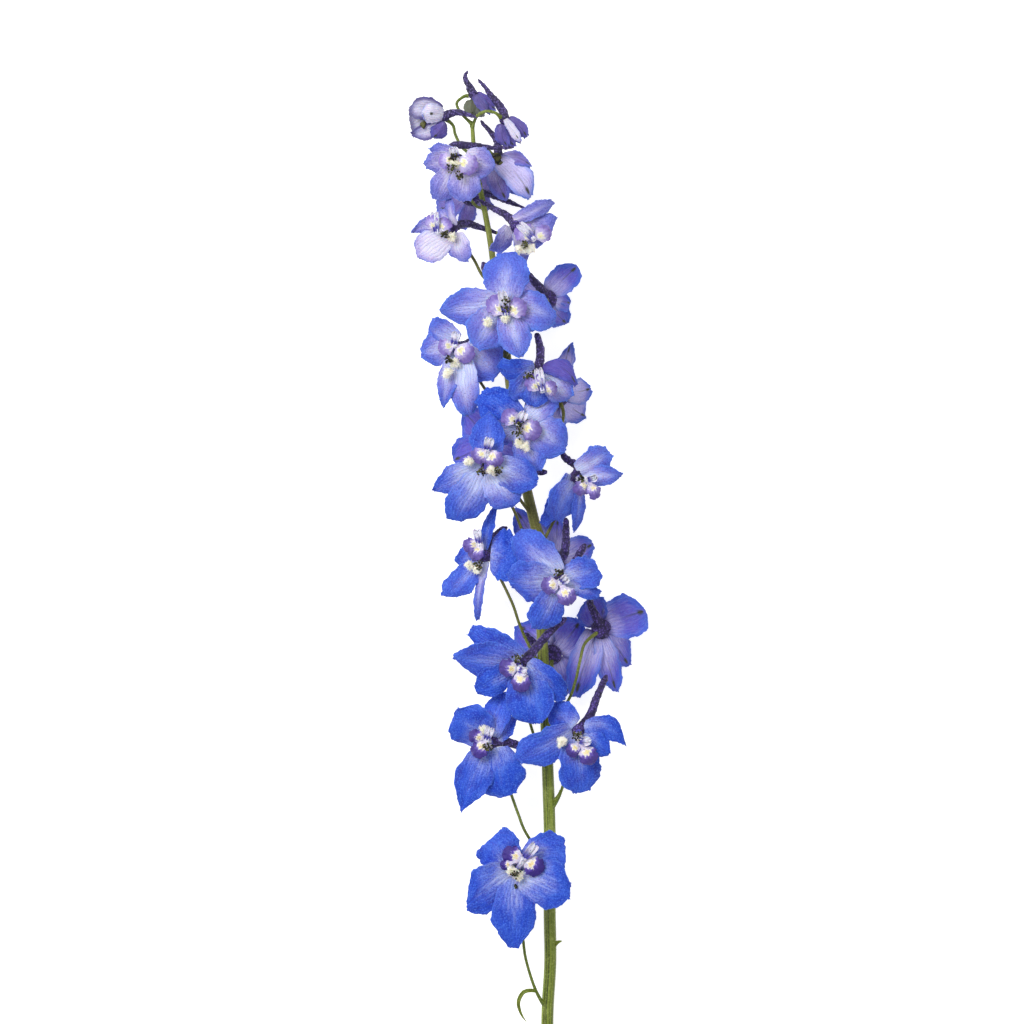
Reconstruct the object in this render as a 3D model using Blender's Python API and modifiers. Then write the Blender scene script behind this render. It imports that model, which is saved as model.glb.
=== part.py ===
"""A cut delphinium flower spike lying on a flat surface: metres, +Z up, +Y towards the tip.

One node is the main stem with the stalks and leaflets that grow from it. Each floret is two nodes, its
five sepals with the spur behind them, and the eye of small pale petals and stamens in its middle. The
buds at the tip are one node each.
"""

import math
import random
from collections import namedtuple

import bmesh
import bpy
import numpy
from mathutils import Vector
from mathutils.geometry import interpolate_bezier

# Every length in the tables below is in millimetres
MM = 0.001

# Sizes that every floret shares, in millimetres unless the name says otherwise
HUB_RADIUS = 2.2
RING_RADIUS = 2.8
SEAT_GAP = 0.3
SHEET_THICKNESS = 0.6
WELD_DISTANCE = 0.01
CLAW_SHARE = 0.16
TIP_SHARE = 0.25
STALK_DIAMETER = 1.4
SPUR_BASE_RADIUS = 1.6
SPUR_TIP_RADIUS = 0.8
EYE_CORE_RADIUS = 1.5
EYE_RING_RADIUS = 1.7
EYE_CORE_HEIGHT = 3.2
EYE_CORE_SHARE = 0.65
EYE_RISE = 0.4
UPPER_PETAL_WIDTH = 3.2
UPPER_PETAL_BACK = 3.2
UPPER_PETAL_SPREAD = 2.2
UPPER_PETAL_RISE = 2.2
LOBE_CUP = -0.15
LOBE_HEIGHT = 5.0
LOBE_REACH = 3.4
LOBE_WIDTH_SHARE = 2.1
HIDDEN_LOBE_SHARE = 0.6
HIDDEN_LOBE_DOWN = 1.2
HIDDEN_LOBE_SPREAD = 1.6
STAMEN_ROOT_RADIUS = 0.6
STAMEN_TIP_RADIUS = 1.3
STAMEN_LEAN = 0.5
SEPAL_BULGE = 0.09
HIDDEN_SEPAL_BULGE = -0.07
SEPAL_CUP = -0.12
SEPAL_WAVE = 1.0
WAVE_TURN = 5
SEPAL_TWIST = math.radians(10)
STAMEN_LENGTH = 4.5

# A blade of a rosette: where its tip is, how wide it is, how far it bulges and cups, waves and twists
Leaf = namedtuple("Leaf", "tip width bulge cup wave twist")

# The exact solver leaves open edges where a sheet's blades overlap, so the pieces join with this one
SOLVER = "MANIFOLD"

# Mesh fineness
SEPAL_ROWS = 4
HIDDEN_SEPAL_ROWS = 3
PETAL_ROWS = 2
SPUR_STEPS = 3
BRACT_STEPS = 5
STALK_STEP_LENGTH = 13
STALK_LEAST_STEPS = 3
STEM_STEPS = 22
STEM_SIDES = 2
ROUND_SIDES = 1
BRACT_SIDES = 0
PEG_SIDES = 4

# The florets low on the spike are a deeper blue than those near its tip
BLUE_FLORETS = 18

# Main stem: x, y, z of its centreline and its diameter there
STEM_ROUTE = [
    (8.3, -215.5, 2.5, 5.0),
    (8.3, -184, 5.2, 5.0),
    (9.5, -161, 7.8, 5.0),
    (9.2, -138, 10.3, 5.0),
    (9.2, -106, 13.6, 5.0),
    (8.3, -78, 16.3, 4.8),
    (7.3, -50, 18.8, 4.7),
    (5.9, -20, 21.0, 4.6),
    (6.0, 12, 22.8, 4.5),
    (2.5, 26, 23.4, 4.4),
    (-3.0, 50, 24.0, 4.2),
    (-6.0, 72, 24.3, 4.1),
    (-9.0, 94, 24.5, 4.0),
    (-12.0, 112, 24.3, 3.4),
    (-15.4, 140, 24.0, 2.5),
    (-18.4, 157, 23.5, 2.3),
    (-22.0, 175, 23.2, 2.1),
    (-23.5, 193, 23.0, 1.6),
]

# A floret: where its hub is, which way it faces, the stalk that carries it from the stem, its spur,
# its sepals as (tip x, y, z, width), and its two lower petals as (centre x, y)
Floret = namedtuple("Floret", "name hub faces stalk spur sepals lobes")

FLORETS = [
    Floret(
        "floret_01",
        hub=(-5, -121, 30),
        faces=(-0.05, -0.1, 1),
        stalk=[(8.4, -182, 5.4), (3.5, -173.5, 8.5), (-0.5, -161, 13), (-2, -151, 17), (-4, -127, 22)],
        spur=[(0, -116, 25), (8, -112, 21.5)],
        sepals=[
            (-14, -102.5, 30, 19),
            (17.5, -109, 31, 16),
            (19, -126, 32, 21),
            (-6, -153.5, 29, 19),
            (-27, -134.5, 30, 20),
        ],
        lobes=[(-7, -114), (2, -118)],
    ),
    Floret(
        "floret_02",
        hub=(-15, -67, 31),
        faces=(-0.35, -0.1, 0.93),
        stalk=[(8.9, -120, 12.2), (-0.5, -106.5, 17), (-4, -98, 20), (-7, -89.5, 22), (-14, -70, 24)],
        spur=[(-9, -67, 30), (-3, -69, 27.5), (4, -72, 25)],
        sepals=[
            (-30, -53.5, 33, 23),
            (-11, -46, 29, 15),
            (-5, -55, 24, 8),
            (-8, -89.5, 29, 20),
            (-28.5, -96, 30, 16),
        ],
        lobes=[(-22, -64), (-20.5, -69)],
    ),
    Floret(
        "floret_03",
        hub=(21, -62, 33),
        faces=(0.1, -0.1, 1),
        stalk=[(8.8, -98, 14.4), (12.5, -92, 17), (15, -85, 20), (18, -74, 25)],
        spur=[(26, -56, 28), (29, -48, 27), (33, -39, 26)],
        sepals=[
            (8.5, -52, 31, 13),
            (-4, -75, 36, 16),
            (22.5, -88, 31, 19),
            (34, -72, 34, 11),
            (41, -67.5, 31, 10),
        ],
        lobes=[(19, -69.5), (25, -72)],
    ),
    Floret(
        "floret_04",
        hub=(-3, -34, 38),
        faces=(-0.15, -0.25, 0.95),
        stalk=[(8, -76, 16.5), (3, -66, 21), (-1, -52, 26), (-2.5, -42, 31)],
        spur=[(2, -29, 35), (8, -22, 33), (14, -16.5, 31), (16, -15, 30.5)],
        sepals=[
            (-24.5, -20, 38, 14),
            (-31.5, -31, 36, 18),
            (-22, -45, 36, 13),
            (3.5, -59, 37, 20),
            (16, -48, 34, 13),
        ],
        lobes=[(-9, -34), (-2, -41)],
    ),
    Floret(
        "floret_05",
        hub=(10, -31, 12),
        faces=(-0.1, 0, -1),
        stalk=[(8, -66, 17.4), (9, -50, 16), (10, -38, 15.7)],
        spur=[(4, -27, 12.5), (-2, -22, 14)],
        sepals=[
            (22.5, -17.5, 3, 18),
            (-4, -18, 3, 17),
            (-9, -37, 0.3, 12),
            (3, -51, 3, 12),
            (17, -48, 2.5, 17),
        ],
        lobes=[],
    ),
    Floret(
        "floret_06",
        hub=(31, -20, 14),
        faces=(0.1, -0.1, -1),
        stalk=[(8, -64, 17.6), (17, -50, 18), (20, -42, 18.5), (22, -33, 18.5), (24, -26, 18.5)],
        spur=[(29, -15, 17.5), (27, -11, 19), (25.5, -7, 20)],
        sepals=[
            (50, -12.5, 7, 20),
            (43, -36, 0.3, 13),
            (37.5, -47, 3, 11),
            (20, -49, 8, 14),
            (25, -8, 5, 15),
        ],
        lobes=[],
    ),
    Floret(
        "floret_07",
        hub=(-18, 11, 30),
        faces=(-0.55, 0, 0.83),
        stalk=[(6.4, -38, 19.7), (0.5, -27, 21), (-3.5, -18, 23), (-7, -8, 24), (-15, 8, 23)],
        spur=[(-17, 15, 25), (-13, 20, 20), (-9, 23, 17)],
        sepals=[
            (-12.5, 34, 29, 6.5),
            (-5, 9, 32, 24),
            (-22, -16, 26, 4.5),
            (-32, -9.5, 26, 14),
            (-29, 8, 24, 10),
        ],
        lobes=[(-23.5, 15), (-21, 11.5)],
    ),
    Floret(
        "floret_08",
        hub=(13, 1, 40),
        faces=(0.1, -0.25, 0.95),
        stalk=[(6, -18, 21.1), (8, -16, 25), (10, -9, 31), (12, -3, 36)],
        spur=[(17, 5, 34), (21, 11, 31.5), (24, 16, 30)],
        sepals=[
            (-6, 20, 39, 16),
            (-7.5, 1, 39, 20),
            (1.5, -19.5, 39, 19),
            (30.5, -6, 38, 9),
            (29.5, 8.5, 38, 13),
        ],
        lobes=[(9, 0), (16, -5)],
    ),
    Floret(
        "floret_09",
        hub=(11, 9, 13),
        faces=(0, 0.1, -1),
        stalk=[(6, -24, 20.7), (8, -14, 17.5), (10, -2, 18), (10.8, 7, 18.5)],
        spur=[(15, 11, 17), (16, 18, 20), (16, 27, 21)],
        sepals=[
            (-5.5, 31, 5, 13),
            (13, 27, 5, 11),
            (28, 15.5, 0.3, 13),
            (22, 0, 1, 9),
            (0, -6, 1, 11),
        ],
        lobes=[],
    ),
    Floret(
        "floret_10",
        hub=(20, 44, 28),
        faces=(0.55, -0.1, 0.83),
        stalk=[(5, 16, 22.9), (8, 20, 21.5), (13, 30, 20.5), (19, 42, 21.5)],
        spur=[(21, 48, 26), (17, 51, 25), (14, 54, 24.5)],
        sepals=[
            (39.5, 47.5, 26, 8),
            (35.5, 54.5, 25, 9),
            (6, 25.5, 30, 19),
            (8, 21.5, 26, 9),
            (17.5, 21.5, 22.5, 5),
        ],
        lobes=[(22.5, 39), (27.5, 37.5)],
    ),
    Floret(
        "floret_11",
        hub=(-17, 48, 44),
        faces=(-0.05, -0.2, 1),
        stalk=[(5, 14, 22.9), (1, 17.5, 25), (-2, 21, 27), (-5, 28, 30), (-8, 34, 33), (-13, 42, 38)],
        spur=[(-10, 49, 38), (0, 46.5, 33), (8, 46, 32)],
        sepals=[
            (-16, 71, 43, 13),
            (-39.5, 35.5, 40, 12),
            (-30, 25.5, 41, 17),
            (-5, 32.5, 42, 17),
            (4, 42, 43, 15),
        ],
        lobes=[(-20, 52), (-14.5, 51)],
    ),
    Floret(
        "floret_12",
        hub=(-15, 59, 12.5),
        faces=(0, 0, -1),
        stalk=[(0, 38, 23.6), (-7, 44, 20), (-12, 53, 16)],
        spur=[(-11, 65, 14.5), (-9, 73, 16)],
        sepals=[
            (-28, 72, 5, 16),
            (-31.5, 51, 0.3, 16),
            (-14, 38, 2.5, 11),
            (0, 53, 3, 12),
            (-6, 77, 3, 12),
        ],
        lobes=[],
    ),
    Floret(
        "floret_13",
        hub=(-2, 66, 38),
        faces=(0, -0.1, 1),
        stalk=[(2, 28, 23.5), (-4, 36, 28), (-6, 46, 29), (-3.5, 62, 31)],
        spur=[(0, 73, 32), (2, 82, 29.5)],
        sepals=[
            (-20, 79, 37, 16),
            (-19, 60, 35, 12),
            (4, 46.5, 38, 15),
            (16, 56, 36, 18),
            (12, 80, 34, 12),
        ],
        lobes=[(-8, 68), (1, 63)],
    ),
    Floret(
        "floret_14",
        hub=(13, 78, 14),
        faces=(0.1, 0, -1),
        stalk=[(-1, 42, 23.8), (6, 50, 21), (12, 60, 19.5), (15, 70, 18)],
        spur=[(9, 75, 18), (5, 71.5, 19), (0.5, 72.5, 19.5)],
        sepals=[
            (27, 81, 8, 12),
            (24.5, 69.5, 0.3, 13),
            (12.5, 62, 3, 9),
            (0, 86, 3, 11),
            (18, 101, 5, 8),
        ],
        lobes=[],
    ),
    Floret(
        "floret_15",
        hub=(4, 88, 42),
        faces=(0.1, -0.5, 0.85),
        stalk=[(-7.5, 84, 24.4), (-2, 89, 29), (1, 92, 34)],
        spur=[(5, 93, 40.5), (5, 98, 39), (3.5, 104, 36)],
        sepals=[
            (19.5, 92, 38, 8),
            (19.5, 84, 40, 12),
            (2, 73.5, 42.5, 13),
            (-7, 77, 43, 11),
            (-12, 88, 40, 13),
        ],
        lobes=[(1, 83), (9, 82)],
    ),
    Floret(
        "floret_16",
        hub=(-29, 98, 34),
        faces=(-0.45, -0.05, 0.89),
        stalk=[(-5, 62, 24.2), (-12, 72, 26), (-20, 84, 26), (-26, 94, 27)],
        spur=[(-22, 102, 27), (-18, 109, 21), (-17, 116, 18)],
        sepals=[
            (-42, 106, 33, 13),
            (-44, 93.5, 30, 15),
            (-36, 73, 31, 10),
            (-24, 70, 31, 15),
            (-12, 85, 31, 22),
        ],
        lobes=[(-34, 98.5), (-27, 96.5)],
    ),
    Floret(
        "floret_17",
        hub=(-10, 115, 44),
        faces=(0, 0, 1),
        stalk=[(-9, 93, 24.5), (-7, 98, 30), (-6.5, 105, 37)],
        spur=[(-13, 121, 38), (-17, 128, 33), (-19, 134, 30.5)],
        sepals=[
            (-12, 136.5, 42, 23),
            (-36.5, 109.5, 41, 17),
            (-22, 98, 43, 18),
            (-2, 94, 48, 15),
            (12, 112, 42, 17),
        ],
        lobes=[(-13, 114.5), (-5, 113)],
    ),
    Floret(
        "floret_18",
        hub=(8, 119, 15),
        faces=(0.1, 0, -1),
        stalk=[(-12.5, 115, 24.2), (-6, 118, 22), (-1, 119, 22), (7.5, 118, 22)],
        spur=[(5, 124, 18.5), (2, 127, 20), (-1, 130.5, 21)],
        sepals=[
            (21, 133.5, 7, 13),
            (18, 118, 3, 9),
            (16.5, 109.5, 0.3, 11),
            (-3, 106, 4, 11),
            (-6, 129, 5, 11),
        ],
        lobes=[],
    ),
    Floret(
        "floret_19",
        hub=(-5, 149, 34),
        faces=(0.45, -0.15, 0.88),
        stalk=[(-15.4, 140, 24), (-12, 143.5, 26), (-12.5, 147, 27), (-7, 148.5, 27)],
        spur=[(-9, 153.5, 31), (-15, 157, 29), (-22, 161, 28)],
        sepals=[
            (7, 153, 29, 5),
            (11.5, 157.5, 34, 8),
            (11.5, 147.5, 32, 16),
            (0, 134.5, 31, 12),
            (-14, 137.5, 33, 10),
        ],
        lobes=[(-2, 145), (5, 145)],
    ),
    Floret(
        "floret_20",
        hub=(-32, 148, 32),
        faces=(-0.5, -0.1, 0.85),
        stalk=[(-13.7, 124, 24.2), (-19, 128.5, 25), (-22.5, 135, 25.5), (-26.5, 141, 25.2)],
        spur=[(-26, 150.5, 26), (-18, 148.5, 19.5), (-9.5, 146, 17)],
        sepals=[
            (-31, 158, 29, 6),
            (-38.5, 155.5, 28, 7),
            (-48.5, 146.5, 27, 9),
            (-47.5, 136.5, 30, 14),
            (-27.5, 134, 31, 14),
        ],
        lobes=[(-39, 150), (-36, 147)],
    ),
    Floret(
        "floret_21",
        hub=(-24, 163, 12.5),
        faces=(0, 0, -1),
        stalk=[(-18.4, 157, 23.5), (-21.5, 158, 20), (-24, 161, 17)],
        spur=[(-17, 164, 11.5), (-9, 161, 9.5), (-1, 158, 9)],
        sepals=[
            (-38, 157, 0.3, 11),
            (-27, 149.5, 2.5, 7.5),
            (-15, 159, 2.5, 7),
            (-13, 170, 3, 11),
            (-36, 173, 3, 10),
        ],
        lobes=[],
    ),
    Floret(
        "floret_22",
        hub=(-29, 176, 38),
        faces=(-0.1, -0.15, 1),
        stalk=[(-20.2, 167, 23.3), (-23, 169, 28), (-27, 172.5, 33)],
        spur=[(-29, 180, 34), (-25, 181, 32), (-15, 181.5, 30), (-6, 182, 29)],
        sepals=[
            (-43, 175.5, 36, 12),
            (-34, 180.5, 36, 8),
            (-14, 173, 37, 14),
            (-25, 159.5, 38, 13),
            (-38, 159.5, 37, 13),
        ],
        lobes=[(-35, 174), (-25, 173)],
    ),
    Floret(
        "floret_23",
        hub=(-13, 178, 20),
        faces=(0.65, -0.7, 0.1),
        stalk=[(-22, 172, 23.2), (-20, 178, 22), (-17, 181.5, 20.5)],
        spur=[(-12.5, 183, 21), (-14, 187, 22), (-20, 194, 22.5)],
        sepals=[
            (1.5, 176.5, 22, 9),
            (3.5, 163, 24, 13),
            (-8, 160.5, 21, 13),
            (-4, 164, 12, 9),
            (2, 170, 14, 9),
        ],
        lobes=None,
    ),
    Floret(
        "bud_left",
        hub=(-35.5, 195.5, 24),
        faces=(-0.95, -0.25, 0.1),
        stalk=[(-22.5, 179, 23.1), (-27.5, 182.5, 22.5), (-30.5, 188, 22), (-31.5, 192, 21)],
        spur=[(-31, 197, 27.5), (-27, 196.5, 29), (-21.5, 194.5, 29.5)],
        sepals=[
            (-44, 203.5, 25, 12),
            (-50, 198, 21, 11),
            (-50, 190, 23, 10),
            (-43, 186, 27, 13),
            (-47, 195, 30, 10),
        ],
        lobes=None,
    ),
    Floret(
        "bud_right",
        hub=(-10, 194, 24),
        faces=(0.62, -0.78, 0),
        stalk=[(-23.5, 191, 23), (-21.5, 195.5, 25), (-18, 197.5, 26.5), (-14, 197, 27)],
        spur=[(-10.5, 198, 22.5), (-15, 204, 23), (-21, 211.5, 23)],
        sepals=[
            (-0.5, 187.5, 25, 7),
            (-4, 184, 28, 7),
            (-6.5, 182, 24, 8),
            (-3, 185, 20, 7),
            (-11, 184.5, 25.5, 8),
        ],
        lobes=None,
    ),
    Floret(
        "bud_top",
        hub=(-21.5, 203.5, 18),
        faces=(0.75, -0.65, 0),
        stalk=[(-23.5, 192.5, 23), (-28, 197, 21.5), (-30, 201.5, 19.5), (-27, 204.5, 18)],
        spur=[(-24, 207.5, 19), (-26.3, 212, 20), (-25.5, 215.3, 20)],
        sepals=[
            (-13, 199, 18, 8),
            (-15, 196.5, 20, 8),
            (-18, 195.5, 18, 8),
            (-14, 198, 14, 8),
            (-22.5, 196.5, 15, 9),
        ],
        lobes=None,
    ),
]

# Green leaflets on the stem and stalks: the route of each one's middle line, and its width
Bract = namedtuple("Bract", "route width")

BRACTS = [
    Bract(
        [(3.8, -173.5, 8.5), (1, -173, 10), (-2, -173.8, 10.5), (-4, -178, 9), (-3, -183, 7), (-0.5, -187, 6)],
        1.8,
    ),
    Bract([(9.4, -156, 8.4), (12, -153, 9.5), (14.5, -152, 11)], 2.2),
    Bract([(10, -94, 15.5), (12.8, -90, 18.2), (13.4, -87.5, 19)], 1.6),
]
BRACT_TIP_SHARE = 0.4


def smooth_route(points, count):
    """Points at even steps along a smooth curve through the points given."""
    curve_steps = 12
    knots = [Vector(p) for p in points]
    handles = []
    for i, knot in enumerate(knots):
        before = knots[max(i - 1, 0)]
        after = knots[min(i + 1, len(knots) - 1)]
        handles.append((after - before) / 6)
    dense = []
    for i in range(len(knots) - 1):
        leave = knots[i] + handles[i]
        arrive = knots[i + 1] - handles[i + 1]
        piece = interpolate_bezier(knots[i], leave, arrive, knots[i + 1], curve_steps)
        dense += piece[:-1] if i < len(knots) - 2 else piece
    lengths = [0.0]
    for a, b in zip(dense, dense[1:]):
        lengths.append(lengths[-1] + (b - a).length)
    route = []
    j = 0
    for k in range(count + 1):
        wanted = lengths[-1] * k / count
        while j < len(dense) - 2 and lengths[j + 1] < wanted:
            j += 1
        share = (wanted - lengths[j]) / (lengths[j + 1] - lengths[j])
        route.append(dense[j].lerp(dense[j + 1], min(max(share, 0), 1)))
    return route


def tube(name, points, radii, sides_level):
    """A closed tapered tube through the points, from a bevelled curve."""
    curve = bpy.data.curves.new(name, "CURVE")
    curve.dimensions = "3D"
    curve.bevel_depth = MM
    curve.bevel_resolution = sides_level
    curve.use_fill_caps = True
    spline = curve.splines.new("POLY")
    spline.points.add(len(points) - 1)
    for spot, place, radius in zip(spline.points, points, radii):
        spot.co = (*(Vector(place) * MM), 1)
        spot.radius = radius
    source = bpy.data.objects.new(name + "_curve", curve)
    bpy.context.scene.collection.objects.link(source)
    graph = bpy.context.evaluated_depsgraph_get()
    mesh = bpy.data.meshes.new_from_object(source.evaluated_get(graph))
    bpy.data.objects.remove(source)
    bm = bmesh.new()
    bm.from_mesh(mesh)
    bmesh.ops.remove_doubles(bm, verts=bm.verts, dist=WELD_DISTANCE * MM)
    bmesh.ops.recalc_face_normals(bm, faces=bm.faces)
    bm.to_mesh(mesh)
    bm.free()
    return bpy.data.objects.new(name, mesh)


def blade_outline(s):
    """Half width of a sepal or petal as a share of its widest, s along it from 0 to 1."""
    widest = 0.55
    swell = 0.7
    tip_power = 2.2
    if s < widest:
        return CLAW_SHARE + (1 - CLAW_SHARE) * math.sin(math.pi / 2 * (s / widest) ** swell)
    return max(TIP_SHARE, (1 - ((s - widest) / (1 - widest)) ** tip_power) ** swell)


def blade_row(leaf, root, faces, phase, s, columns):
    """One row of points across a waved blade that bulges the way it faces, s along it from 0 to 1."""
    middle = (root + leaf.tip) / 2 + faces * leaf.bulge * 2
    centre = root * (1 - s) ** 2 + middle * 2 * s * (1 - s) + leaf.tip * s**2
    tangent = ((middle - root) * (1 - s) + (leaf.tip - middle) * s).normalized()
    side = tangent.cross(faces).normalized()
    up = side.cross(tangent)
    side = side * math.cos(leaf.twist) + up * math.sin(leaf.twist)
    up = side.cross(tangent)
    half = leaf.width / 2 * blade_outline(s)
    row = []
    for j in range(columns + 1):
        t = 2 * j / columns - 1
        lift = leaf.cup * half * t * t + leaf.wave * s * t * math.sin(phase + WAVE_TURN * s)
        place = centre + side * half * t + up * lift
        place.z = max(place.z, SHEET_THICKNESS / 2)
        row.append(place)
    return row


def rosette(name, centre, faces, ring, leaves, rows):
    """Blades that grow out of a small round plate, one sheet in all, made solid."""
    x_axis = faces.orthogonal().normalized()
    y_axis = faces.cross(x_axis)

    def angle_of(leaf):
        out = leaf.tip - centre
        return math.atan2(out.dot(y_axis), out.dot(x_axis))

    ordered = sorted(leaves, key=angle_of)
    step = math.tau / len(ordered)
    turns = [angle_of(leaf) - k * step for k, leaf in enumerate(ordered)]
    start = math.atan2(sum(map(math.sin, turns)), sum(map(math.cos, turns)))

    def ring_point(angle):
        return centre + (x_axis * math.cos(angle) + y_axis * math.sin(angle)) * ring

    bm = bmesh.new()
    hub_vert = bm.verts.new(centre * MM)
    mids = [bm.verts.new(ring_point(start + k * step) * MM) for k in range(len(ordered))]
    gaps = [bm.verts.new(ring_point(start + (k - 0.5) * step) * MM) for k in range(len(ordered))]
    draw = random.Random(name)
    for k, leaf in enumerate(ordered):
        phase = draw.uniform(0, math.tau)
        right, left = gaps[k], gaps[(k + 1) % len(ordered)]
        bm.faces.new((hub_vert, right, mids[k]))
        bm.faces.new((hub_vert, mids[k], left))
        root = ring_point(start + k * step)
        low = [left, mids[k], right]
        for i in range(1, rows + 1):
            points = blade_row(leaf, root, faces, phase, i / rows, 2)
            high = [bm.verts.new(point * MM) for point in points]
            for j in range(2):
                bm.faces.new((low[j], low[j + 1], high[j + 1], high[j]))
            low = high
    bmesh.ops.recalc_face_normals(bm, faces=bm.faces)
    bmesh.ops.triangulate(bm, faces=bm.faces)
    mesh = bpy.data.meshes.new(name)
    bm.to_mesh(mesh)
    bm.free()
    sheet = bpy.data.objects.new(name, mesh)
    shell = sheet.modifiers.new("thickness", "SOLIDIFY")
    shell.thickness = SHEET_THICKNESS * MM
    shell.offset = 0
    return sheet


def ball(name, centre, radius):
    """A faceted ball."""
    mesh = bpy.data.meshes.new(name)
    bm = bmesh.new()
    bmesh.ops.create_icosphere(bm, subdivisions=1, radius=radius * MM)
    bmesh.ops.translate(bm, verts=bm.verts, vec=centre * MM)
    bm.to_mesh(mesh)
    bm.free()
    return bpy.data.objects.new(name, mesh)


def peg(name, start, end, start_radius, end_radius):
    """A tapered peg between two points."""
    mesh = bpy.data.meshes.new(name)
    bm = bmesh.new()
    bmesh.ops.create_cone(
        bm,
        cap_ends=True,
        segments=PEG_SIDES,
        radius1=start_radius * MM,
        radius2=end_radius * MM,
        depth=(end - start).length * MM,
    )
    turn = (end - start).to_track_quat("Z", "Y").to_matrix()
    bmesh.ops.rotate(bm, verts=bm.verts, cent=(0, 0, 0), matrix=turn)
    bmesh.ops.translate(bm, verts=bm.verts, vec=(start + end) / 2 * MM)
    bm.to_mesh(mesh)
    bm.free()
    return bpy.data.objects.new(name, mesh)


def fuse(name, first, others, home):
    """One body from pieces that run into each other."""
    scene = bpy.context.scene.collection
    scene.objects.link(first)
    pieces = bpy.data.collections.new(name + "_pieces")
    scene.children.link(pieces)
    for other in others:
        pieces.objects.link(other)
    join = first.modifiers.new("join", "BOOLEAN")
    join.operation = "UNION"
    join.solver = SOLVER
    join.operand_type = "COLLECTION"
    join.collection = pieces
    graph = bpy.context.evaluated_depsgraph_get()
    mesh = bpy.data.meshes.new_from_object(first.evaluated_get(graph))
    mesh.name = name
    mesh.materials.clear()
    mesh.shade_smooth()
    bpy.data.objects.remove(first)
    for other in others:
        bpy.data.objects.remove(other)
    bpy.data.collections.remove(pieces)
    body = bpy.data.objects.new(name, mesh)
    home.objects.link(body)
    return body


def material(name, colour, roughness):
    """A plain principled material."""
    made = bpy.data.materials.new(name)
    made.use_nodes = True
    shader = made.node_tree.nodes["Principled BSDF"]
    shader.inputs["Base Color"].default_value = (*colour, 1)
    shader.inputs["Roughness"].default_value = roughness
    shader.inputs["Metallic"].default_value = 0
    return made


def spur_piece(floret, hub):
    """The spur behind the floret, a tapered tube from inside the hub."""
    route = smooth_route([hub, *map(Vector, floret.spur)], SPUR_STEPS)
    taper = (SPUR_BASE_RADIUS - SPUR_TIP_RADIUS) / SPUR_STEPS
    radii = [SPUR_BASE_RADIUS - taper * i for i in range(SPUR_STEPS + 1)]
    return tube(floret.name + "_spur", route, radii, ROUND_SIDES)


def sepals_body(floret, home):
    """The five sepals, the hub they grow from and the spur."""
    hub = Vector(floret.hub)
    faces = Vector(floret.faces).normalized()
    face_down = floret.lobes == []
    bulge = HIDDEN_SEPAL_BULGE if face_down else SEPAL_BULGE
    leaves = []
    for x, y, z, width in floret.sepals:
        tip = Vector((x, y, z))
        reach = (tip - hub).length
        leaves.append(Leaf(tip, width, bulge * reach, SEPAL_CUP, SEPAL_WAVE, SEPAL_TWIST))
    rows = SEPAL_ROWS if floret.lobes else HIDDEN_SEPAL_ROWS
    sheet = rosette(floret.name + "_rosette", hub, faces, RING_RADIUS, leaves, rows)
    core = ball(floret.name + "_hub", hub, HUB_RADIUS)
    return fuse(floret.name + "_sepals", sheet, [core, spur_piece(floret, hub)], home)


def hidden_lobes(head, faces):
    """Where the two lower petals lie in a floret that faces the ground."""
    foot_end = Vector((0, -1, 0))
    away = foot_end - faces * foot_end.dot(faces)
    across = away.normalized().cross(faces) * HIDDEN_LOBE_SPREAD
    middle = head + away * HIDDEN_LOBE_DOWN
    return [middle + across, middle - across]


def eye_body(floret, home):
    """The small petals in the middle: two lower lobes, two upper petals and the bunch of stamens."""
    hub = Vector(floret.hub)
    faces = Vector(floret.faces).normalized()
    foot = hub + faces * (HUB_RADIUS + SEAT_GAP)
    head = foot + faces * EYE_CORE_HEIGHT
    lobes = [Vector((x, y, hub.z + LOBE_HEIGHT)) for x, y in floret.lobes]
    reach = LOBE_REACH
    if not lobes:
        lobes = hidden_lobes(head, faces)
        reach = LOBE_REACH * HIDDEN_LOBE_SHARE
    down = (lobes[0] + lobes[1]) / 2 - head
    down = (down - faces * down.dot(faces)).normalized()
    across = down.cross(faces)
    leaves = []
    for lobe in lobes:
        out = (lobe - head).normalized()
        leaves.append(Leaf(lobe + out * reach, reach * LOBE_WIDTH_SHARE, EYE_RISE, LOBE_CUP, 0, 0))
    for way in (-1, 1) if floret.lobes else (0,):
        tip = head - down * UPPER_PETAL_BACK + across * way * UPPER_PETAL_SPREAD + faces * UPPER_PETAL_RISE
        leaves.append(Leaf(tip, UPPER_PETAL_WIDTH, EYE_RISE, 0, 0, 0))
    sheet = rosette(floret.name + "_petals", head, faces, EYE_RING_RADIUS, leaves, PETAL_ROWS)
    core_radius = EYE_CORE_RADIUS * EYE_CORE_SHARE
    core = peg(floret.name + "_core", foot, head + faces * SEAT_GAP, core_radius, core_radius)
    bunch = head + (faces + down * STAMEN_LEAN).normalized() * STAMEN_LENGTH
    root = head - faces * SHEET_THICKNESS
    stamens = peg(floret.name + "_stamens", root, bunch, STAMEN_ROOT_RADIUS, STAMEN_TIP_RADIUS)
    return fuse(floret.name + "_eye", sheet, [core, stamens], home)


def stalk_piece(floret):
    """The thin stalk that carries a floret, from inside the stem to just short of the hub."""
    hub = Vector(floret.hub)
    last = Vector(floret.stalk[-1])
    seat = hub + (last - hub).normalized() * (HUB_RADIUS + SEAT_GAP)
    places = [*map(Vector, floret.stalk), seat]
    length = sum((b - a).length for a, b in zip(places, places[1:]))
    route = smooth_route(places, max(STALK_LEAST_STEPS, round(length / STALK_STEP_LENGTH)))
    radii = [STALK_DIAMETER / 2] * len(route)
    return tube(floret.name + "_stalk", route, radii, ROUND_SIDES)


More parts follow.
